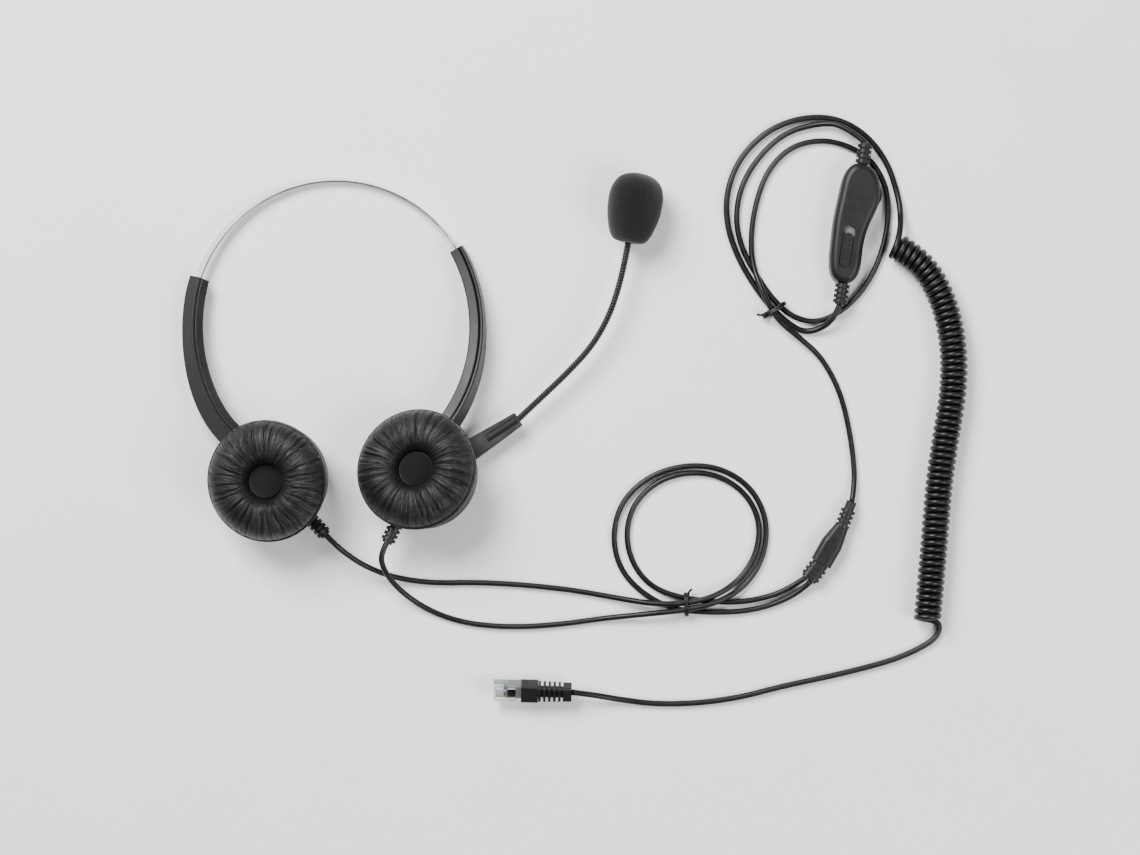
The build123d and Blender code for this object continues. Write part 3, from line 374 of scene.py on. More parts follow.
node_finish["left_back_cap"] = black_abs
for node_name, node_object in nodes.items():
    node_object.data.materials.clear()
    node_object.data.materials.append(node_finish[node_name])
print(len(nodes), "CAD nodes have a finish")

# %% [markdown]
# ## Floor, light and camera
#
# The headset lies on a pale sheet under a large soft lamp, and the camera looks straight down
# from 1.5 m, as over a copy stand. A long lens from there keeps the cups nearly round.

# %% Stage, lamps, camera
floor_height = cad_box[0][2]
floor_finish, floor_tree, floor_shader = new_finish("pale_paper", "f4f5f6", 0.85)
paper = grain(floor_tree, 0.06, detail=2.0)
floor_tree.links.new(two_tones(floor_tree, paper, "f2f3f4", "f8f9fa"), floor_shader.inputs["Base Color"])
floor_half = 4.0
floor_mesh = bpy.data.meshes.new("floor")
corners = [(x * floor_half, y * floor_half, floor_height) for x, y in ((-1, -1), (1, -1), (1, 1), (-1, 1))]
floor_mesh.from_pydata(corners, [], [(0, 1, 2, 3)])
floor_mesh.materials.append(floor_finish)
floor = bpy.data.objects.new("floor", floor_mesh)
bpy.context.scene.collection.objects.link(floor)

view_centre = Vector((0.0657, -0.0304, 0.0))
camera_height = 1.5
view_width = 0.513
sensor_width = 36.0
camera_data = bpy.data.cameras.new("camera")
camera_data.sensor_width = sensor_width
camera_data.lens = sensor_width * camera_height / view_width
camera = bpy.data.objects.new("camera", camera_data)
camera.location = view_centre + Vector((0, 0, camera_height))
bpy.context.scene.collection.objects.link(camera)
bpy.context.scene.camera = camera


def soft_lamp(name, place, power):
    """A square area lamp that faces the middle of the view."""
    lamp_data = bpy.data.lights.new(name, "AREA")
    lamp_data.shape = "SQUARE"
    lamp_data.size = lamp_width
    lamp_data.energy = power
    lamp = bpy.data.objects.new(name, lamp_data)
    lamp.location = place
    lamp.rotation_euler = (Vector(place) - view_centre).to_track_quat("Z", "Y").to_euler()
    bpy.context.scene.collection.objects.link(lamp)


lamp_width = 0.8
soft_lamp("key_lamp", (-0.55, 0.8, 1.2), 52.0)
soft_lamp("fill_lamp", (0.95, -0.45, 1.1), 18.0)
world = bpy.data.worlds.new("studio")
world.use_nodes = True
sky = world.node_tree.nodes["Background"]
sky.inputs["Color"].default_value = colour("f2f4f7")
sky.inputs["Strength"].default_value = 0.26
bpy.context.scene.world = world
print("camera", [round(value, 3) for value in camera.location], "lens", round(camera_data.lens, 1))

# %% [markdown]
# ## Shared mesh helpers
#
# A cord is a round section carried along a line. A curve's own bevel could do it, but a cord
# that crosses a joint has to be a mesh, and a mesh shows what each vertex does. The section is
# turned as little as possible from one point to the next, so the tube never twists. Turned
# parts, such as cushions and the windscreen, are a half profile carried once round an axis.


# %% Tubes, turned parts and routes
def new_piece(name, places, faces, material):
    """A smooth-shaded mesh object with one material."""
    mesh = bpy.data.meshes.new(name)
    mesh.from_pydata([tuple(place) for place in places], [], faces)
    mesh.materials.append(material)
    mesh.shade_smooth()
    mesh.update()
    piece = bpy.data.objects.new(name, mesh)
    bpy.context.scene.collection.objects.link(piece)
    return piece


def ring_faces(rings, sides):
    """Quads that join each ring of vertices to the next one."""
    faces = []
    for ring in range(rings - 1):
        for side in range(sides):
            after = (side + 1) % sides
            low = ring * sides
            high = low + sides
            faces.append((low + side, low + after, high + after, high + side))
    return faces


def capped_faces(rings, sides):
    """Quads between the rings, and one face across each end."""
    faces = ring_faces(rings, sides)
    faces.append(tuple(reversed(range(sides))))
    faces.append(tuple(range((rings - 1) * sides, rings * sides)))
    return faces


def smoothed(piece, levels):
    """Subdivides a piece smoothly, keeps the result as its mesh, and returns that mesh."""
    smoother = piece.modifiers.new("Smooth", "SUBSURF")
    smoother.levels = levels
    smoother.render_levels = levels
    solved = piece.evaluated_get(bpy.context.evaluated_depsgraph_get())
    mesh = bpy.data.meshes.new_from_object(solved)
    piece.modifiers.clear()
    piece.data = mesh
    mesh.name = piece.name
    return mesh


def tube(name, line, radius, sides, material):
    """A closed round tube along the points of line."""
    tangents = []
    for index in range(len(line)):
        before = line[max(index - 1, 0)]
        after = line[min(index + 1, len(line) - 1)]
        tangents.append((after - before).normalized())
    normal = tangents[0].orthogonal().normalized()
    places = []
    for place, tangent in zip(line, tangents):
        normal = (normal - tangent * normal.dot(tangent)).normalized()
        binormal = tangent.cross(normal)
        for side in range(sides):
            angle = 2 * math.pi * side / sides
            places.append(place + radius * (math.cos(angle) * normal + math.sin(angle) * binormal))
    return new_piece(name, places, capped_faces(len(line), sides), material)


def spline_object(name, control_points, resolution):
    """A curve object with one NURBS spline that starts and ends on its control points."""
    curve = bpy.data.curves.new(name, "CURVE")
    curve.dimensions = "3D"
    curve.resolution_u = resolution
    spline = curve.splines.new("NURBS")
    spline.points.add(len(control_points) - 1)
    for point, place in zip(spline.points, control_points):
        point.co = (*place, 1.0)
    spline.order_u = 3
    spline.use_endpoint_u = True
    holder = bpy.data.objects.new(name, curve)
    bpy.context.scene.collection.objects.link(holder)
    return holder


def route_line(name, control_points, resolution=12):
    """The points along the spline of some control points."""
    holder = spline_object(name, control_points, resolution)
    mesh = bpy.data.meshes.new_from_object(holder)
    line = [vertex.co.copy() for vertex in mesh.vertices]
    bpy.data.objects.remove(holder)
    bpy.data.meshes.remove(mesh)
    return line


def line_length(line):
    """The length of a line of points."""
    return sum((after - before).length for before, after in zip(line, line[1:]))


print("helpers: new_piece, ring_faces, capped_faces, smoothed, tube, route_line, line_length")

# %% [markdown]
# ## Wire ties
#
# Each bundle of cord is held by a thin plastic-coated wire, wound twice round it and bent off.
# The CAD has a plain band there. The wire is one spline that goes round twice, drifts a little
# sideways as it goes, and turns out at its end. The ties are made before the cords.


# %% Wire ties
tie_wire_diameter = 0.0011
tie_turns = 2.25
tie_steps = 44
tie_drift = 0.0019


def wire_tie(name, place, heading, across, height, node):
    """Two loops of coated wire round a bundle that runs along heading, bent out at the end."""
    along = Vector((math.cos(heading), math.sin(heading), 0))
    beside = Vector((-along.y, along.x, 0))
    middle = Vector((*place, height / 2))
    points = []
    for step in range(tie_steps + 1):
        turn = tie_turns * 2 * math.pi * step / tie_steps - 0.5 * math.pi
        drift = (step / tie_steps - 0.5) * tie_drift
        wide = (across / 2 - tie_wire_diameter / 2) * math.cos(turn)
        high = (height / 2 - tie_wire_diameter / 2) * math.sin(turn)
        points.append(middle + along * drift + beside * wide + Vector((0, 0, high)))
    last = points[-1]
    points.append(last + (beside * 1.2 + along * 0.6) * millimetre)
    points.append(last + (beside * 1.6 + along * 1.4 - Vector((0, 0, 1.0))) * millimetre)
    line = route_line(name, points, 6)
    tie = tube(name, line, tie_wire_diameter / 2, 10, tie_film)
    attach(tie, "headband")
    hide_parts(node)
    print(name, round(line_length(line) * 1000), "mm of wire")
    return tie


lower_tie = wire_tie("lower_wire_tie", (0.118, -0.1098), 0.0, 0.0112, 0.0072, "lower_twist_tie")
upper_heading = math.radians(122)
upper_tie = wire_tie("upper_wire_tie", (0.1574, 0.0224), upper_heading, 0.0128, 0.0072, "upper_twist_tie")

# %% [markdown]
# ## The ear cords
#
# Each ear cup has its own thin PVC cord. The two lie side by side, go once and a half round in
# a loose loop held by a wire tie, and meet in the splitter. A cord like this is limp but springs
# a little, so its line is one NURBS spline with no straight runs. It starts on an arm that
# slides and ends on parts that lie still, and here it is one mesh, fixed where it lies.

# %% Ear cords
cord_diameter = 0.0026
left_ear_route = (
    (-0.042513, -0.078581, 0.017701),
    (-0.039053, -0.082173, 0.018053),
    (-0.0332, -0.0874, 0.0148),
    (-0.0246, -0.0932, 0.0088),
    (-0.0125, -0.098, 0.0034),
    (0.004, -0.1004, 0.00135),
    (0.024, -0.1, 0.00135),
    (0.046, -0.1012, 0.00135),
    (0.068, -0.1036, 0.00135),
    (0.088, -0.1072, 0.0024),
    (0.103, -0.1096, 0.0051),
    (0.118, -0.1094, 0.0051),
    (0.1315, -0.106, 0.0051),
    (0.143, -0.098, 0.00135),
    (0.15, -0.086, 0.00135),
    (0.151, -0.072, 0.00135),
    (0.1445, -0.0595, 0.00135),
    (0.132, -0.0516, 0.00135),
    (0.1175, -0.0504, 0.00135),
    (0.104, -0.055, 0.00135),
    (0.094, -0.065, 0.00135),
    (0.0906, -0.0785, 0.00135),
    (0.0936, -0.0915, 0.00135),
    (0.1015, -0.1015, 0.00135),
    (0.113, -0.1064, 0.002),
    (0.128, -0.1086, 0.002),
    (0.143, -0.109, 0.00135),
    (0.157, -0.106, 0.00135),
    (0.166, -0.1015, 0.0024),
    (0.171469, -0.097701, 0.0039),
)
right_ear_route = (
    (-0.015995, -0.082069, 0.018043),
    (-0.018246, -0.086512, 0.018479),
    (-0.018, -0.0918, 0.0168),
    (-0.0146, -0.0984, 0.0118),
    (-0.0086, -0.105, 0.0066),
    (0, -0.1112, 0.0026),
    (0.011, -0.1162, 0.00135),
    (0.024, -0.1192, 0.00135),
    (0.042, -0.1202, 0.00135),
    (0.062, -0.1189, 0.00135),
    (0.082, -0.116, 0.00135),
    (0.101, -0.114, 0.0051),
    (0.117, -0.1124, 0.0051),
    (0.132, -0.109, 0.0051),
    (0.145, -0.1015, 0.00135),
    (0.1532, -0.088, 0.00135),
    (0.1544, -0.0715, 0.00135),
    (0.147, -0.0568, 0.00135),
    (0.133, -0.0482, 0.00135),
    (0.1165, -0.0472, 0.00135),
    (0.1005, -0.0525, 0.00135),
    (0.0885, -0.064, 0.00135),
    (0.0846, -0.0795, 0.00135),
    (0.088, -0.094, 0.00135),
    (0.0975, -0.1045, 0.00135),
    (0.111, -0.112, 0.002),
    (0.128, -0.1136, 0.002),
    (0.146, -0.113, 0.00135),
    (0.16, -0.109, 0.00135),
    (0.1695, -0.1036, 0.0024),
    (0.173731, -0.099499, 0.0039),
)
cord_sides = 14
jacket_in_relief = 0.002
for side, route in (("left", left_ear_route), ("right", right_ear_route)):
    line = route_line(f"{side}_ear_route", route)
    start = Vector(route[0])
    inside_relief = start + (line[0] - line[1]).normalized() * jacket_in_relief
    cord = tube(f"{side}_ear_cord_jacket", [inside_relief, *line], cord_diameter / 2, cord_sides, cord_pvc)
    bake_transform(cord)
    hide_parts(f"{side}_ear_cord")
    print(side, "ear cord", round(line_length(line), 3), "m,", len(line), "points")

# %% [markdown]
# ## The trunk and the plug lead
#
# Below the splitter one round trunk runs to the pod. The lead on the other side of the pod is
# plain, then curly, then plain again up to the plug. A curly cord is wound hot on a mandrel and
# keeps its close turns when it lies slack. The turns are a helix worked out by a loop, about a
# line read from the same spline as the plain stretches, and its radius fades in and out so that
# the whole lead is one unbroken jacket.

# %% Trunk cord
trunk_route = (
    (0.1922, -0.0636, 0.0039),
    (0.1936, -0.056, 0.0019),
    (0.1932, -0.045, 0.00135),
    (0.191, -0.03, 0.00135),
    (0.187, -0.014, 0.00135),
    (0.179, 0.001, 0.002),
    (0.1685, 0.01, 0.0051),
    (0.1585, 0.018, 0.0051),
    (0.1522, 0.03, 0.0051),
    (0.1476, 0.043, 0.00135),
    (0.147, 0.057, 0.00135),
    (0.1496, 0.0725, 0.00135),
    (0.155, 0.086, 0.00135),
    (0.165, 0.096, 0.00135),
    (0.179, 0.0992, 0.00135),
    (0.1925, 0.0958, 0.00135),
    (0.2024, 0.0886, 0.00135),
    (0.2082, 0.077, 0.00135),
    (0.209, 0.063, 0.00135),
    (0.206, 0.048, 0.00135),
    (0.1995, 0.034, 0.00135),
    (0.1895, 0.0228, 0.00135),
    (0.177, 0.0164, 0.00135),
    (0.1655, 0.0192, 0.002),
    (0.1566, 0.0274, 0.002),
    (0.1492, 0.0385, 0.00135),
    (0.1426, 0.0505, 0.00135),
    (0.14, 0.064, 0.00135),
    (0.1426, 0.0785, 0.00135),
    (0.1505, 0.0915, 0.00135),
    (0.162, 0.102, 0.00135),
    (0.1765, 0.1062, 0.0024),
    (0.1886, 0.1056, 0.005),
    (0.198124, 0.096981, 0.0069),
)
trunk_line = route_line("trunk_route", trunk_route)
trunk = tube("trunk_cord_jacket", trunk_line, cord_diameter / 2, cord_sides, cord_pvc)
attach(trunk, "headband")
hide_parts("trunk_cord")
print("trunk", round(line_length(trunk_line), 3), "m")

# %% Plug lead with its curly stretch
lead_route = (
    (0.186483, 0.02471, 0.0069),
    (0.1844, 0.0192, 0.0064),
    (0.179, 0.0142, 0.0032),
    (0.171, 0.0122, 0.00135),
    (0.1636, 0.0164, 0.002),
    (0.156, 0.0234, 0.002),
    (0.148, 0.034, 0.00135),
    (0.1406, 0.047, 0.00135),
    (0.136, 0.061, 0.00135),
    (0.136, 0.076, 0.00135),
    (0.142, 0.091, 0.00135),
    (0.154, 0.103, 0.00135),
    (0.169, 0.109, 0.00135),
    (0.185, 0.109, 0.00135),
    (0.1986, 0.1018, 0.00135),
    (0.2084, 0.089, 0.00135),
    (0.2132, 0.074, 0.00135),
    (0.2142, 0.0655, 0.0034),
    (0.2136, 0.0576, 0.0086),
    (0.2118, 0.0514, 0.0113),
)
curly_route = (
    (0.2116, 0.051, 0.0065),
    (0.221, 0.0454, 0.0065),
    (0.2294, 0.0345, 0.0065),
    (0.235, 0.0205, 0.0065),
    (0.2378, 0.004, 0.0065),
    (0.2376, -0.014, 0.0065),
    (0.2342, -0.034, 0.0065),
    (0.231, -0.055, 0.0065),
    (0.2294, -0.076, 0.0065),
    (0.2276, -0.097, 0.0065),
    (0.2258, -0.1166, 0.0065),
)
tail_route = (
    (0.2258, -0.1166, 0.0016),
    (0.2302, -0.117, 0.0015),
    (0.2322, -0.1204, 0.00135),
    (0.2294, -0.1262, 0.00135),
    (0.215, -0.1336, 0.00135),
    (0.198, -0.1386, 0.00135),
    (0.179, -0.143, 0.00135),
    (0.16, -0.147, 0.00135),
    (0.142, -0.1518, 0.00135),
    (0.123, -0.1544, 0.00135),
    (0.104, -0.1548, 0.00135),
    (0.088, -0.1526, 0.0022),
    (0.076, -0.1502, 0.006),
    (0.0664, -0.149, 0.0068),
)
helix_radius = 0.0049
helix_turns = 59
points_per_turn = 36
# The part of a turn over which the helix opens from the plain cord to its full radius.
fading_turns = 0.8
lead_sides = 12
# The corners of a section with few sides stand a little outside the round cord.
lead_corner_radius = 0.00138
# The points on each side of a join that are eased to take its kink out.
eased_points = 5


def walked(line, step):
    """The points of a line, set out again at even steps."""
    total = line_length(line)
    count = max(int(total / step), 2)
    places = []
    reached = 0.0
    index = 0
    for number in range(count + 1):
        wanted = total * number / count
        while index < len(line) - 2 and reached + (line[index + 1] - line[index]).length < wanted:
            reached += (line[index + 1] - line[index]).length
            index += 1
        run = line[index + 1] - line[index]
        places.append(line[index] + run * min((wanted - reached) / max(run.length, 1e-9), 1.0))
    return places


def wound(axis, start, end, turns):
    """A helix about the line axis that leaves start and arrives at end."""
    count = turns * points_per_turn
    axis = walked(axis, line_length(axis) / count)
    tangents = [(after - before).normalized() for before, after in zip(axis, axis[1:])]
    tangents.append(tangents[-1])
    normals = []
    normal = tangents[0].orthogonal().normalized()
    for tangent in tangents:
        normal = (normal - tangent * normal.dot(tangent)).normalized()
        normals.append(normal)
    phases = []
    radii = []
    for index, place in ((0, start), (-1, end)):
        offset = place - axis[index]
        offset -= tangents[index] * offset.dot(tangents[index])
        binormal = tangents[index].cross(normals[index])
        phases.append(math.atan2(offset.dot(binormal), offset.dot(normals[index])))
        radii.append(offset.length)
    sweep = 2 * math.pi * turns + phases[1] - phases[0]
    places = []
    for index, (place, tangent, normal) in enumerate(zip(axis, tangents, normals)):
        share = index / (len(axis) - 1)
        phase = phases[0] + sweep * share
        into = min(share * turns / fading_turns, 1.0)
        out = min((1 - share) * turns / fading_turns, 1.0)
        radius = helix_radius
        radius += (radii[0] - helix_radius) * (1 - into) ** 2
        radius += (radii[1] - helix_radius) * (1 - out) ** 2
        binormal = tangent.cross(normal)
        places.append(place + radius * (math.cos(phase) * normal + math.sin(phase) * binormal))
    return places


def eased(line, middle, reach, rounds=12):
    """Takes the kink out of a line near one of its points."""
    line = list(line)
    for _ in range(rounds):
        for index in range(max(middle - reach, 1), min(middle + reach, len(line) - 1)):
            line[index] = line[index] * 0.5 + (line[index - 1] + line[index + 1]) * 0.25
    return line


lead_line = route_line("lead_route", lead_route)
curly_line = route_line("curly_route", curly_route)
tail_line = route_line("tail_route", tail_route)
turns_line = wound(curly_line, lead_line[-1], tail_line[0], helix_turns)
plug_line = lead_line + turns_line[1:] + tail_line[1:]
plug_line = eased(plug_line, len(lead_line) - 1, eased_points)
plug_line = eased(plug_line, len(lead_line) + len(turns_line) - 2, eased_points)
plug_lead = tube("plug_lead_jacket", plug_line, lead_corner_radius, lead_sides, cord_pvc)
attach(plug_lead, "headband")
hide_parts("lead_cord", "curly_cord", "tail_cord")
print("plug lead", round(line_length(plug_line), 3), "m,", len(plug_line), "points, turns", helix_turns)

# %% [markdown]
# ## Ear cushions
#
# A cushion is a ring of foam inside a leatherette cover. The cover is cut as a disc, gathered
# to the rim and the hole, and sewn to a plain skirt that clips on the cup. Gathers could be
# modelled by hand or with noise alone, but cloth pushed out by the foam between its stitches
# falls into the right shape by itself. So the ring is built a little slim, the creases and the
# seams are pinned, and the Cloth solver blows the rest up. It runs at ten times the size,
# because the solver's limits are set for garments, and how far a point may move is capped.

# %% Cushion shape before it is filled
cup_places = {
    "left": (
        Vector((-0.0668, -0.053361, 0.015228)),
        Vector((0.6919, -0.7185, 0.0704)),
        Vector((-0.1747, -0.0719, 0.9820)),
    ),
    "right": (
        Vector((-0.0002, -0.050873, 0.014984)),
        Vector((-0.45, -0.8888, 0.0871)),
        Vector((-0.2009, 0.1958, 0.9598)),
    ),
}


def turned_frame(centre, across, axis):
    """A matrix with Z along axis and X along across."""
    x_axis = (across - axis * across.dot(axis)).normalized()
    y_axis = axis.cross(x_axis)
    matrix = Matrix((x_axis, y_axis, axis)).transposed().to_4x4()
    matrix.translation = centre
    return matrix


columns = 240
crease_count = 30
# Half the width of a deep crease, in radians round the cup.
crease_spread = 0.024
# Radius and height of the slim cover in millimetres, up the hole, over the top, down outside.
cover_profile = (
    (8.2, 7.6),
    (8.0, 9.6),
    (7.9, 11.4),
    (8.0, 13.2),
    (8.5, 15.0),
    (9.4, 16.6),
    (10.7, 17.9),
    (12.2, 18.8),
    (14.4, 19.1),
    (16.6, 19.1),
    (18.8, 18.8),
    (20.9, 18.1),
    (22.8, 17.0),
    (24.4, 15.6),
    (25.6, 13.9),
    (26.3, 12.2),
    (26.4, 10.9),
    (26.0, 10.0),
)
cover_rings = len(cover_profile)


def crease_angles(seed):
    """Where the deep creases fall: near even, as a sewer gathers by eye."""
    pick = random.Random(seed)
    places = [index + pick.uniform(-0.38, 0.38) for index in range(crease_count)]
    return [2 * math.pi * place / crease_count for place in places]


def crease_depth(angle, angles):
    """1 in a crease, falling to 0 between two of them."""
    gap = min(abs((angle - place + math.pi) % (2 * math.pi) - math.pi) for place in angles)
    return math.exp(-((gap / crease_spread) ** 2))


print(crease_count, "creases,", columns * cover_rings, "vertices a cover before it is smoothed")


# %% Fill the covers by cloth simulation
cloth_frames = 18
# How far the foam may push a point of the cover out, in millimetres.
furthest_push = 0.9


def cover_mesh(angles, scale):
    """The slim cover as a closed ring, at scale times its size, with its pinned weights."""
    places = []
    weights = []
    for ring, (radius, height) in enumerate(cover_profile):
        crown = math.sin(math.pi * ring / (cover_rings - 1))
        for column in range(columns):
            angle = 2 * math.pi * column / columns
            crease = crease_depth(angle, angles)
            lift = height - 0.55 * crease * crown
            wide = radius - 0.35 * crease * crown
            place = Vector((wide * math.cos(angle), wide * math.sin(angle), lift))
            places.append(place * millimetre * scale)
            sewn = 1.0 if ring < 4 or ring >= cover_rings - 2 else 0.0
            weights.append(max(sewn, 0.85 * crease))
    faces = ring_faces(cover_rings, columns)
    for column in range(columns):
        after = (column + 1) % columns
        last = (cover_rings - 1) * columns
        faces.append((last + column, last + after, after, column))
    # The profile climbs the hole and comes down outside, so each face is turned to point outwards.
    faces = [tuple(reversed(face)) for face in faces]
    return places, faces, weights


def filled_cover(name, seed):
    """The cover's vertex places after the foam has pushed it out, in metres, unplaced."""
    scale = 10.0
    angles = crease_angles(seed)
    places, faces, weights = cover_mesh(angles, scale)
    piece = new_piece(name, places, faces, leatherette)
    group = piece.vertex_groups.new(name="sewn")
    for index, weight in enumerate(weights):
        group.add([index], weight, "REPLACE")
    cloth = piece.modifiers.new("Cloth", "CLOTH")
    cloth.settings.quality = 6
    cloth.settings.mass = 0.2
    cloth.settings.tension_stiffness = 12.0
    cloth.settings.compression_stiffness = 12.0
    cloth.settings.bending_stiffness = 0.4
    cloth.settings.use_pressure = True
    cloth.settings.uniform_pressure_force = 4.0
    cloth.settings.vertex_group_mass = "sewn"
    cloth.settings.pin_stiffness = 1.0
    cloth.settings.effector_weights.gravity = 0.0
    cloth.collision_settings.use_collision = False
    for frame_number in range(1, cloth_frames + 1):
        bpy.context.scene.frame_set(frame_number)
    solved = piece.evaluated_get(bpy.context.evaluated_depsgraph_get()).to_mesh()
    furthest = furthest_push * millimetre * scale
    result = []
    for place, vertex in zip(places, solved.vertices):
        move = vertex.co - place
        result.append((place + move * min(1.0, furthest / max(move.length, 1e-9))) / scale)
    mesh = piece.data
    bpy.data.objects.remove(piece)
    bpy.data.meshes.remove(mesh)
    bpy.context.scene.frame_set(1)
    return result, faces, angles


# The gathers are noise read round a circle of this many lumps' radius, so that they run outwards.
gather_lumps = 19
gather_length = 11 * millimetre
wander_length = 5 * millimetre
# Depths in millimetres: of the deep creases, the wide folds and the fine ridges between them.
deep_crease = 0.42
wide_fold = 0.55
fine_ridge = 0.16
# The folds fade in over this many millimetres above this height, and the sides stay plain.
fold_height = 10.5
fold_fade = 4.0


def finished_cushion(side, seed):
    places, faces, angles = filled_cover(f"{side}_cover_sim", seed)
    matrix = turned_frame(*cup_places[side])
    piece = new_piece(f"{side}_cushion_cover", places, faces, leatherette)
    mesh = smoothed(piece, 1)
    gather = mesh.attributes.new("gather", "FLOAT_VECTOR", "POINT")
    for index, vertex in enumerate(mesh.vertices):
        radius = math.hypot(vertex.co.x, vertex.co.y)
        angle = math.atan2(vertex.co.y, vertex.co.x)
        swing = angle + 0.05 * noise.noise(Vector((radius / wander_length, 3 * math.sin(angle), seed)))
        around = Vector((math.cos(swing), math.sin(swing), 0)) * gather_lumps
        sample = around + Vector((0, 0, radius / gather_length + seed))
        gather.data[index].vector = sample * 1.7
        top = min(max((vertex.co.z / millimetre - fold_height) / fold_fade, 0.0), 1.0)
        fold = max(0.0, 0.55 - abs(noise.noise(sample * 0.55)) * 4.0) * wide_fold
        ridge = (1.0 - abs(noise.noise(sample)) * 2.6) * fine_ridge
        deep = crease_depth(swing, angles) * deep_crease
        outward = Vector((vertex.co.x, vertex.co.y, 0)).normalized() * 0.5 + Vector((0, 0, 1))
        vertex.co -= outward * (fold + ridge + deep) * top * millimetre
    mesh.transform(matrix)
    mesh.shade_smooth()
    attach(piece, f"{side}_cup")
    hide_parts(f"{side}_ear_cushion")
    return piece


for side, seed in (("left", 3), ("right", 8)):
    cushion = finished_cushion(side, seed)
    print(cushion.name, len(cushion.data.polygons), "faces")

# %% [markdown]
# ## Cushion skirts and foam discs
#
# Under the gathered cover a plain band of the same leatherette pulls in round the cup's edge,
# with a bead where the two are sewn. Down the hole lies a disc of dense foam that keeps dust off
# the speaker. Both are turned shapes: a half profile carried once round the cup's axis.


# %% Turned pieces
def turned(name, profile, matrix, sides, material):
    """Carries a half profile, in millimetres, once round Z, and places it."""
    places = []
    for radius, height in profile:
        for side in range(sides):
            angle = 2 * math.pi * side / sides
            place = Vector((radius * math.cos(angle), radius * math.sin(angle), height))
            places.append(matrix @ (place * millimetre))
    return new_piece(name, places, capped_faces(len(profile), sides), material)


def give_gather(piece, centre_matrix):
    """The attribute that the leatherette's creases are read from."""
    gather = piece.data.attributes.new("gather", "FLOAT_VECTOR", "POINT")
    inverse = centre_matrix.inverted()
    for index, vertex in enumerate(piece.data.vertices):
        place = inverse @ vertex.co
        angle = math.atan2(place.y, place.x)
        gather.data[index].vector = (5 * math.cos(angle), 5 * math.sin(angle), place.z / (3 * millimetre))


skirt_profile = (
    (22.0, 7.1),
    (25.2, 7.0),
    (26.2, 7.1),
    (26.7, 7.5),
    (26.8, 8.2),
    (26.7, 9.2),
    (26.6, 9.7),
    (27.0, 9.9),
    (27.15, 10.3),
    (26.9, 10.7),
    (26.3, 10.7),
    (22.0, 10.4),
)
disc_profile = [(7.4, 7.0), (7.6, 8.6), (7.6, 11.6), (7.3, 12.2), (6.6, 12.45)]
disc_profile += [(5.2, 12.6), (3.8, 12.75), (2.4, 12.83), (1.0, 12.87), (0.2, 12.88)]
for side in ("left", "right"):
    matrix = turned_frame(*cup_places[side])
    skirt = turned(f"{side}_cushion_skirt", skirt_profile, matrix, 144, leatherette)
    give_gather(skirt, matrix)
    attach(skirt, f"{side}_cup")
    # The foam disc takes the darker foam, painted shade for the shade down the hole.
    disc = turned(f"{side}_foam_disc_face", disc_profile, matrix, 72, painted_hole_shade_foam)
    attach(disc, f"{side}_cup")
    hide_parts(f"{side}_foam_disc")
    print(side, "skirt", len(skirt.data.polygons), "faces, disc", len(disc.data.polygons), "faces")

# %% [markdown]
# ## The windscreen
#
# The windscreen is a foam ball cut on a lathe-like grinder and pushed over the microphone. It is
# a barrel, widest above its middle, and its ground skin is a little uneven. A smooth profile
# through a few widths gives the barrel, and noise along the normals gives the skin.

# %% Windscreen
mic_place = Vector((0.0926, 0.057, 0.0129))
mic_heading = Vector((0.171, 0.985, 0.0)).normalized()
screen_profile = (
    (2.2, -5.0),
    (5.2, -4.9),
    (7.2, -4.3),
    (8.7, -2.5),
    (10.0, 0.4),
    (11.1, 4.0),
    (11.9, 8.0),
    (12.3, 12.0),
    (12.25, 15.5),
    (11.7, 18.8),
    (10.6, 21.6),
    (8.9, 23.8),
    (6.6, 25.3),
    (3.6, 26.2),
    (0.6, 26.45),
)
screen_matrix = turned_frame(mic_place, Vector((0, 0, 1)), mic_heading)
windscreen = turned("windscreen_foam", screen_profile, screen_matrix, 64, foam)
windscreen_mesh = smoothed(windscreen, 2)
for vertex in windscreen_mesh.vertices:
    lumps = noise.noise(vertex.co / (6 * millimetre)) * 0.12
    lumps += noise.noise(vertex.co / (1.3 * millimetre)) * 0.05
    vertex.co += vertex.normal * lumps * millimetre
windscreen_mesh.shade_smooth()
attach(windscreen, "boom")
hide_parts("mic_windscreen")
print("windscreen", len(windscreen_mesh.polygons), "faces")

# %% [markdown]
# ## The gooseneck
#
# The stay is a flexible metal conduit: a narrow strip wound round itself, so it has a bead every
# 1.35 mm and keeps any bend. Hundreds of beads could be arrayed rings. Geometry Nodes does it in
# one sweep: the curve is resampled finely, its radius rises and falls with the length along it,
# and a circle is carried along it.

# %% Gooseneck by Geometry Nodes
gooseneck_route = (
    (0.042645, -0.026599, 0.007956),
    (0.052, -0.0178, 0.0086),
    (0.064, -0.0065, 0.0094),
    (0.0755, 0.0058, 0.0104),
    (0.0833, 0.0195, 0.0113),
    (0.088, 0.034, 0.0121),
    (0.091, 0.048, 0.0127),
    (0.0926, 0.057, 0.0129),
)


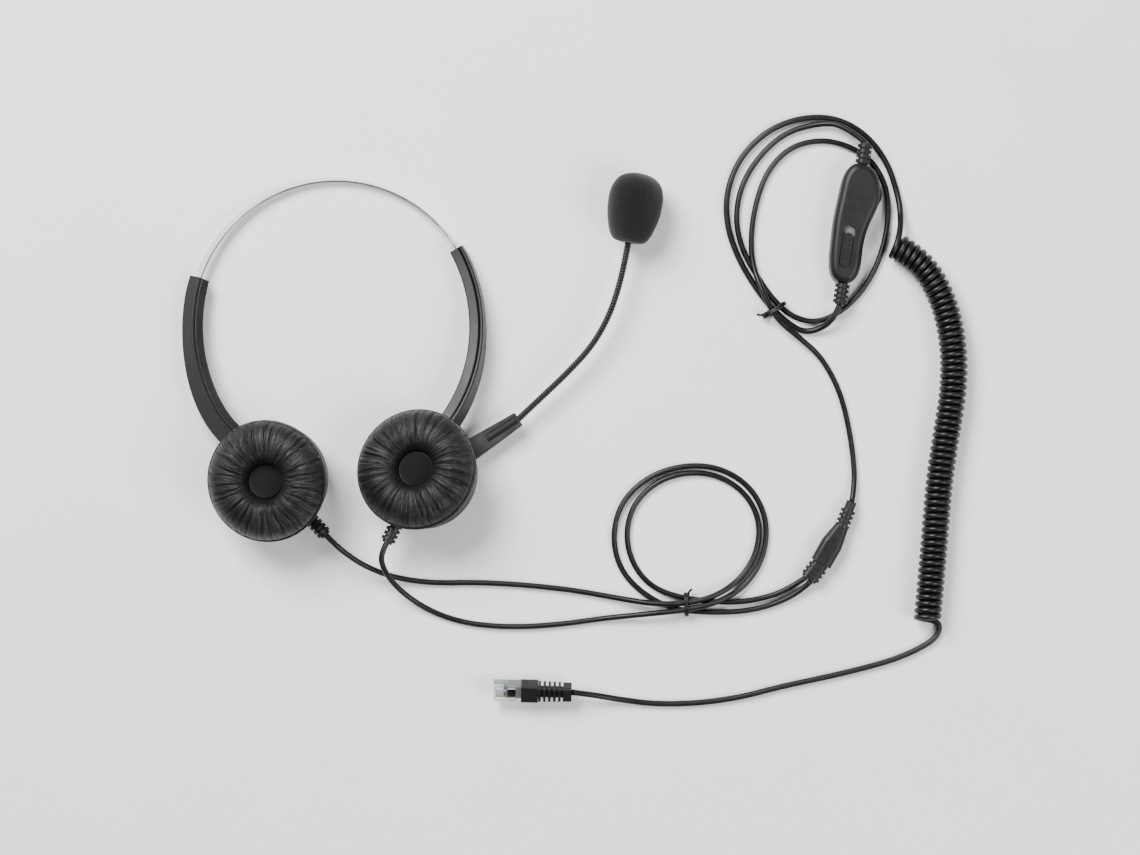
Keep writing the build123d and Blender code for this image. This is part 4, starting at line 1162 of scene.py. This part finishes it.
def ribbed_stay_tree():
    """Nodes that carry a circle along a curve with a radius that ripples along its length."""
    tree = bpy.data.node_groups.new("ribbed_stay", "GeometryNodeTree")
    sockets = tree.interface
    sockets.new_socket("Geometry", in_out="INPUT", socket_type="NodeSocketGeometry")
    for label in ("Rib pitch", "Rib depth", "Radius", "Step"):
        sockets.new_socket(label, in_out="INPUT", socket_type="NodeSocketFloat")
    sockets.new_socket("Finish", in_out="INPUT", socket_type="NodeSocketMaterial")
    sockets.new_socket("Geometry", in_out="OUTPUT", socket_type="NodeSocketGeometry")
    given = add_node(tree, "NodeGroupInput").outputs
    inputs = {"Curve": given["Geometry"], "Length": given["Step"]}
    fine = add_node(tree, "GeometryNodeResampleCurve", inputs, mode="LENGTH")
    along = add_node(tree, "GeometryNodeSplineParameter").outputs["Length"]
    turns = add_node(tree, "ShaderNodeMath", {0: along, 1: given["Rib pitch"]}, operation="DIVIDE")
    angle = add_node(tree, "ShaderNodeMath", {0: turns.outputs[0], 1: 2 * math.pi}, operation="MULTIPLY")
    wave = add_node(tree, "ShaderNodeMath", {0: angle.outputs[0]}, operation="SINE")
    inputs = {0: wave.outputs[0], 1: given["Rib depth"], 2: given["Radius"]}
    ripple = add_node(tree, "ShaderNodeMath", inputs, operation="MULTIPLY_ADD")
    circle = add_node(tree, "GeometryNodeCurvePrimitiveCircle", {"Resolution": 20, "Radius": 1.0})
    inputs = {"Curve": fine.outputs["Curve"], "Profile Curve": circle.outputs["Curve"]}
    swept = add_node(tree, "GeometryNodeCurveToMesh", {**inputs, "Fill Caps": True})
    tree.links.new(ripple.outputs[0], swept.inputs["Scale"])
    real = add_node(tree, "GeometryNodeRealizeInstances", {"Geometry": swept.outputs["Mesh"]})
    inputs = {"Geometry": real.outputs["Geometry"], "Material": given["Finish"]}
    dressed = add_node(tree, "GeometryNodeSetMaterial", inputs)
    add_node(tree, "NodeGroupOutput", {"Geometry": dressed.outputs["Geometry"]})
    return tree


stay_maker = spline_object("stay_maker", gooseneck_route, 24)
ribs = stay_maker.modifiers.new("Ribs", "NODES")
ribs.node_group = ribbed_stay_tree()
sockets = ribs.node_group.interface.items_tree
identifiers = {item.name: item.identifier for item in sockets if item.in_out == "INPUT"}
ribs[identifiers["Rib pitch"]] = 1.35 * millimetre
ribs[identifiers["Rib depth"]] = 0.17 * millimetre
ribs[identifiers["Radius"]] = 1.45 * millimetre
ribs[identifiers["Step"]] = 0.17 * millimetre
ribs[identifiers["Finish"]] = stay_steel
stay_solved = stay_maker.evaluated_get(bpy.context.evaluated_depsgraph_get())
stay_mesh = bpy.data.meshes.new_from_object(stay_solved)
bpy.data.objects.remove(stay_maker)
stay_mesh.shade_smooth()
stay = bpy.data.objects.new("ribbed_gooseneck", stay_mesh)
bpy.context.scene.collection.objects.link(stay)
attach(stay, "boom")
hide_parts("boom_gooseneck")
print("gooseneck", len(stay_mesh.polygons), "faces")

# %% [markdown]
# ## The end of the jacket in its plug
#
# Inside the clear plug, the flat end of the jacket is held by a pressed wedge and shows dark
# through the plastic. It is a rounded bar that steps down where the wires leave it, so it is a
# loft of a few rounded sections along the plug.

# %% The jacket's end inside the plug
plug_low, plug_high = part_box("plug_body")
plug_middle = (plug_low + plug_high) / 2
plug_along = Vector((-1.0, 0.03, 0.0)).normalized()
plug_up = Matrix.Rotation(math.radians(-28), 3, plug_along) @ Vector((0, 0, 1))
plug_side = plug_up.cross(plug_along)
section_corners = 16
# Distance along the plug, half width and half height of each section, in millimetres.
jacket_sections = (
    (-6.1, 2.6, 1.6),
    (-5.9, 2.9, 1.9),
    (-0.4, 2.9, 1.9),
    (-0.1, 2.4, 1.4),
    (1.4, 2.2, 0.8),
    (1.7, 1.9, 0.5),
)
places = []
for distance, half_width, half_height in jacket_sections:
    for corner in range(section_corners):
        angle = 2 * math.pi * corner / section_corners
        flat = Vector((abs(math.cos(angle)) ** 0.5, abs(math.sin(angle)) ** 0.5))
        sideways = math.copysign(flat.x, math.cos(angle)) * half_width
        upwards = math.copysign(flat.y, math.sin(angle)) * half_height
        offset = plug_along * distance + plug_side * sideways + plug_up * upwards
        places.append(plug_middle + offset * millimetre)
faces = capped_faces(len(jacket_sections), section_corners)
jacket_end = new_piece("plug_jacket_end", places, faces, relief_pvc)
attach(jacket_end, "headband")
print("jacket end", len(jacket_end.data.polygons), "faces")
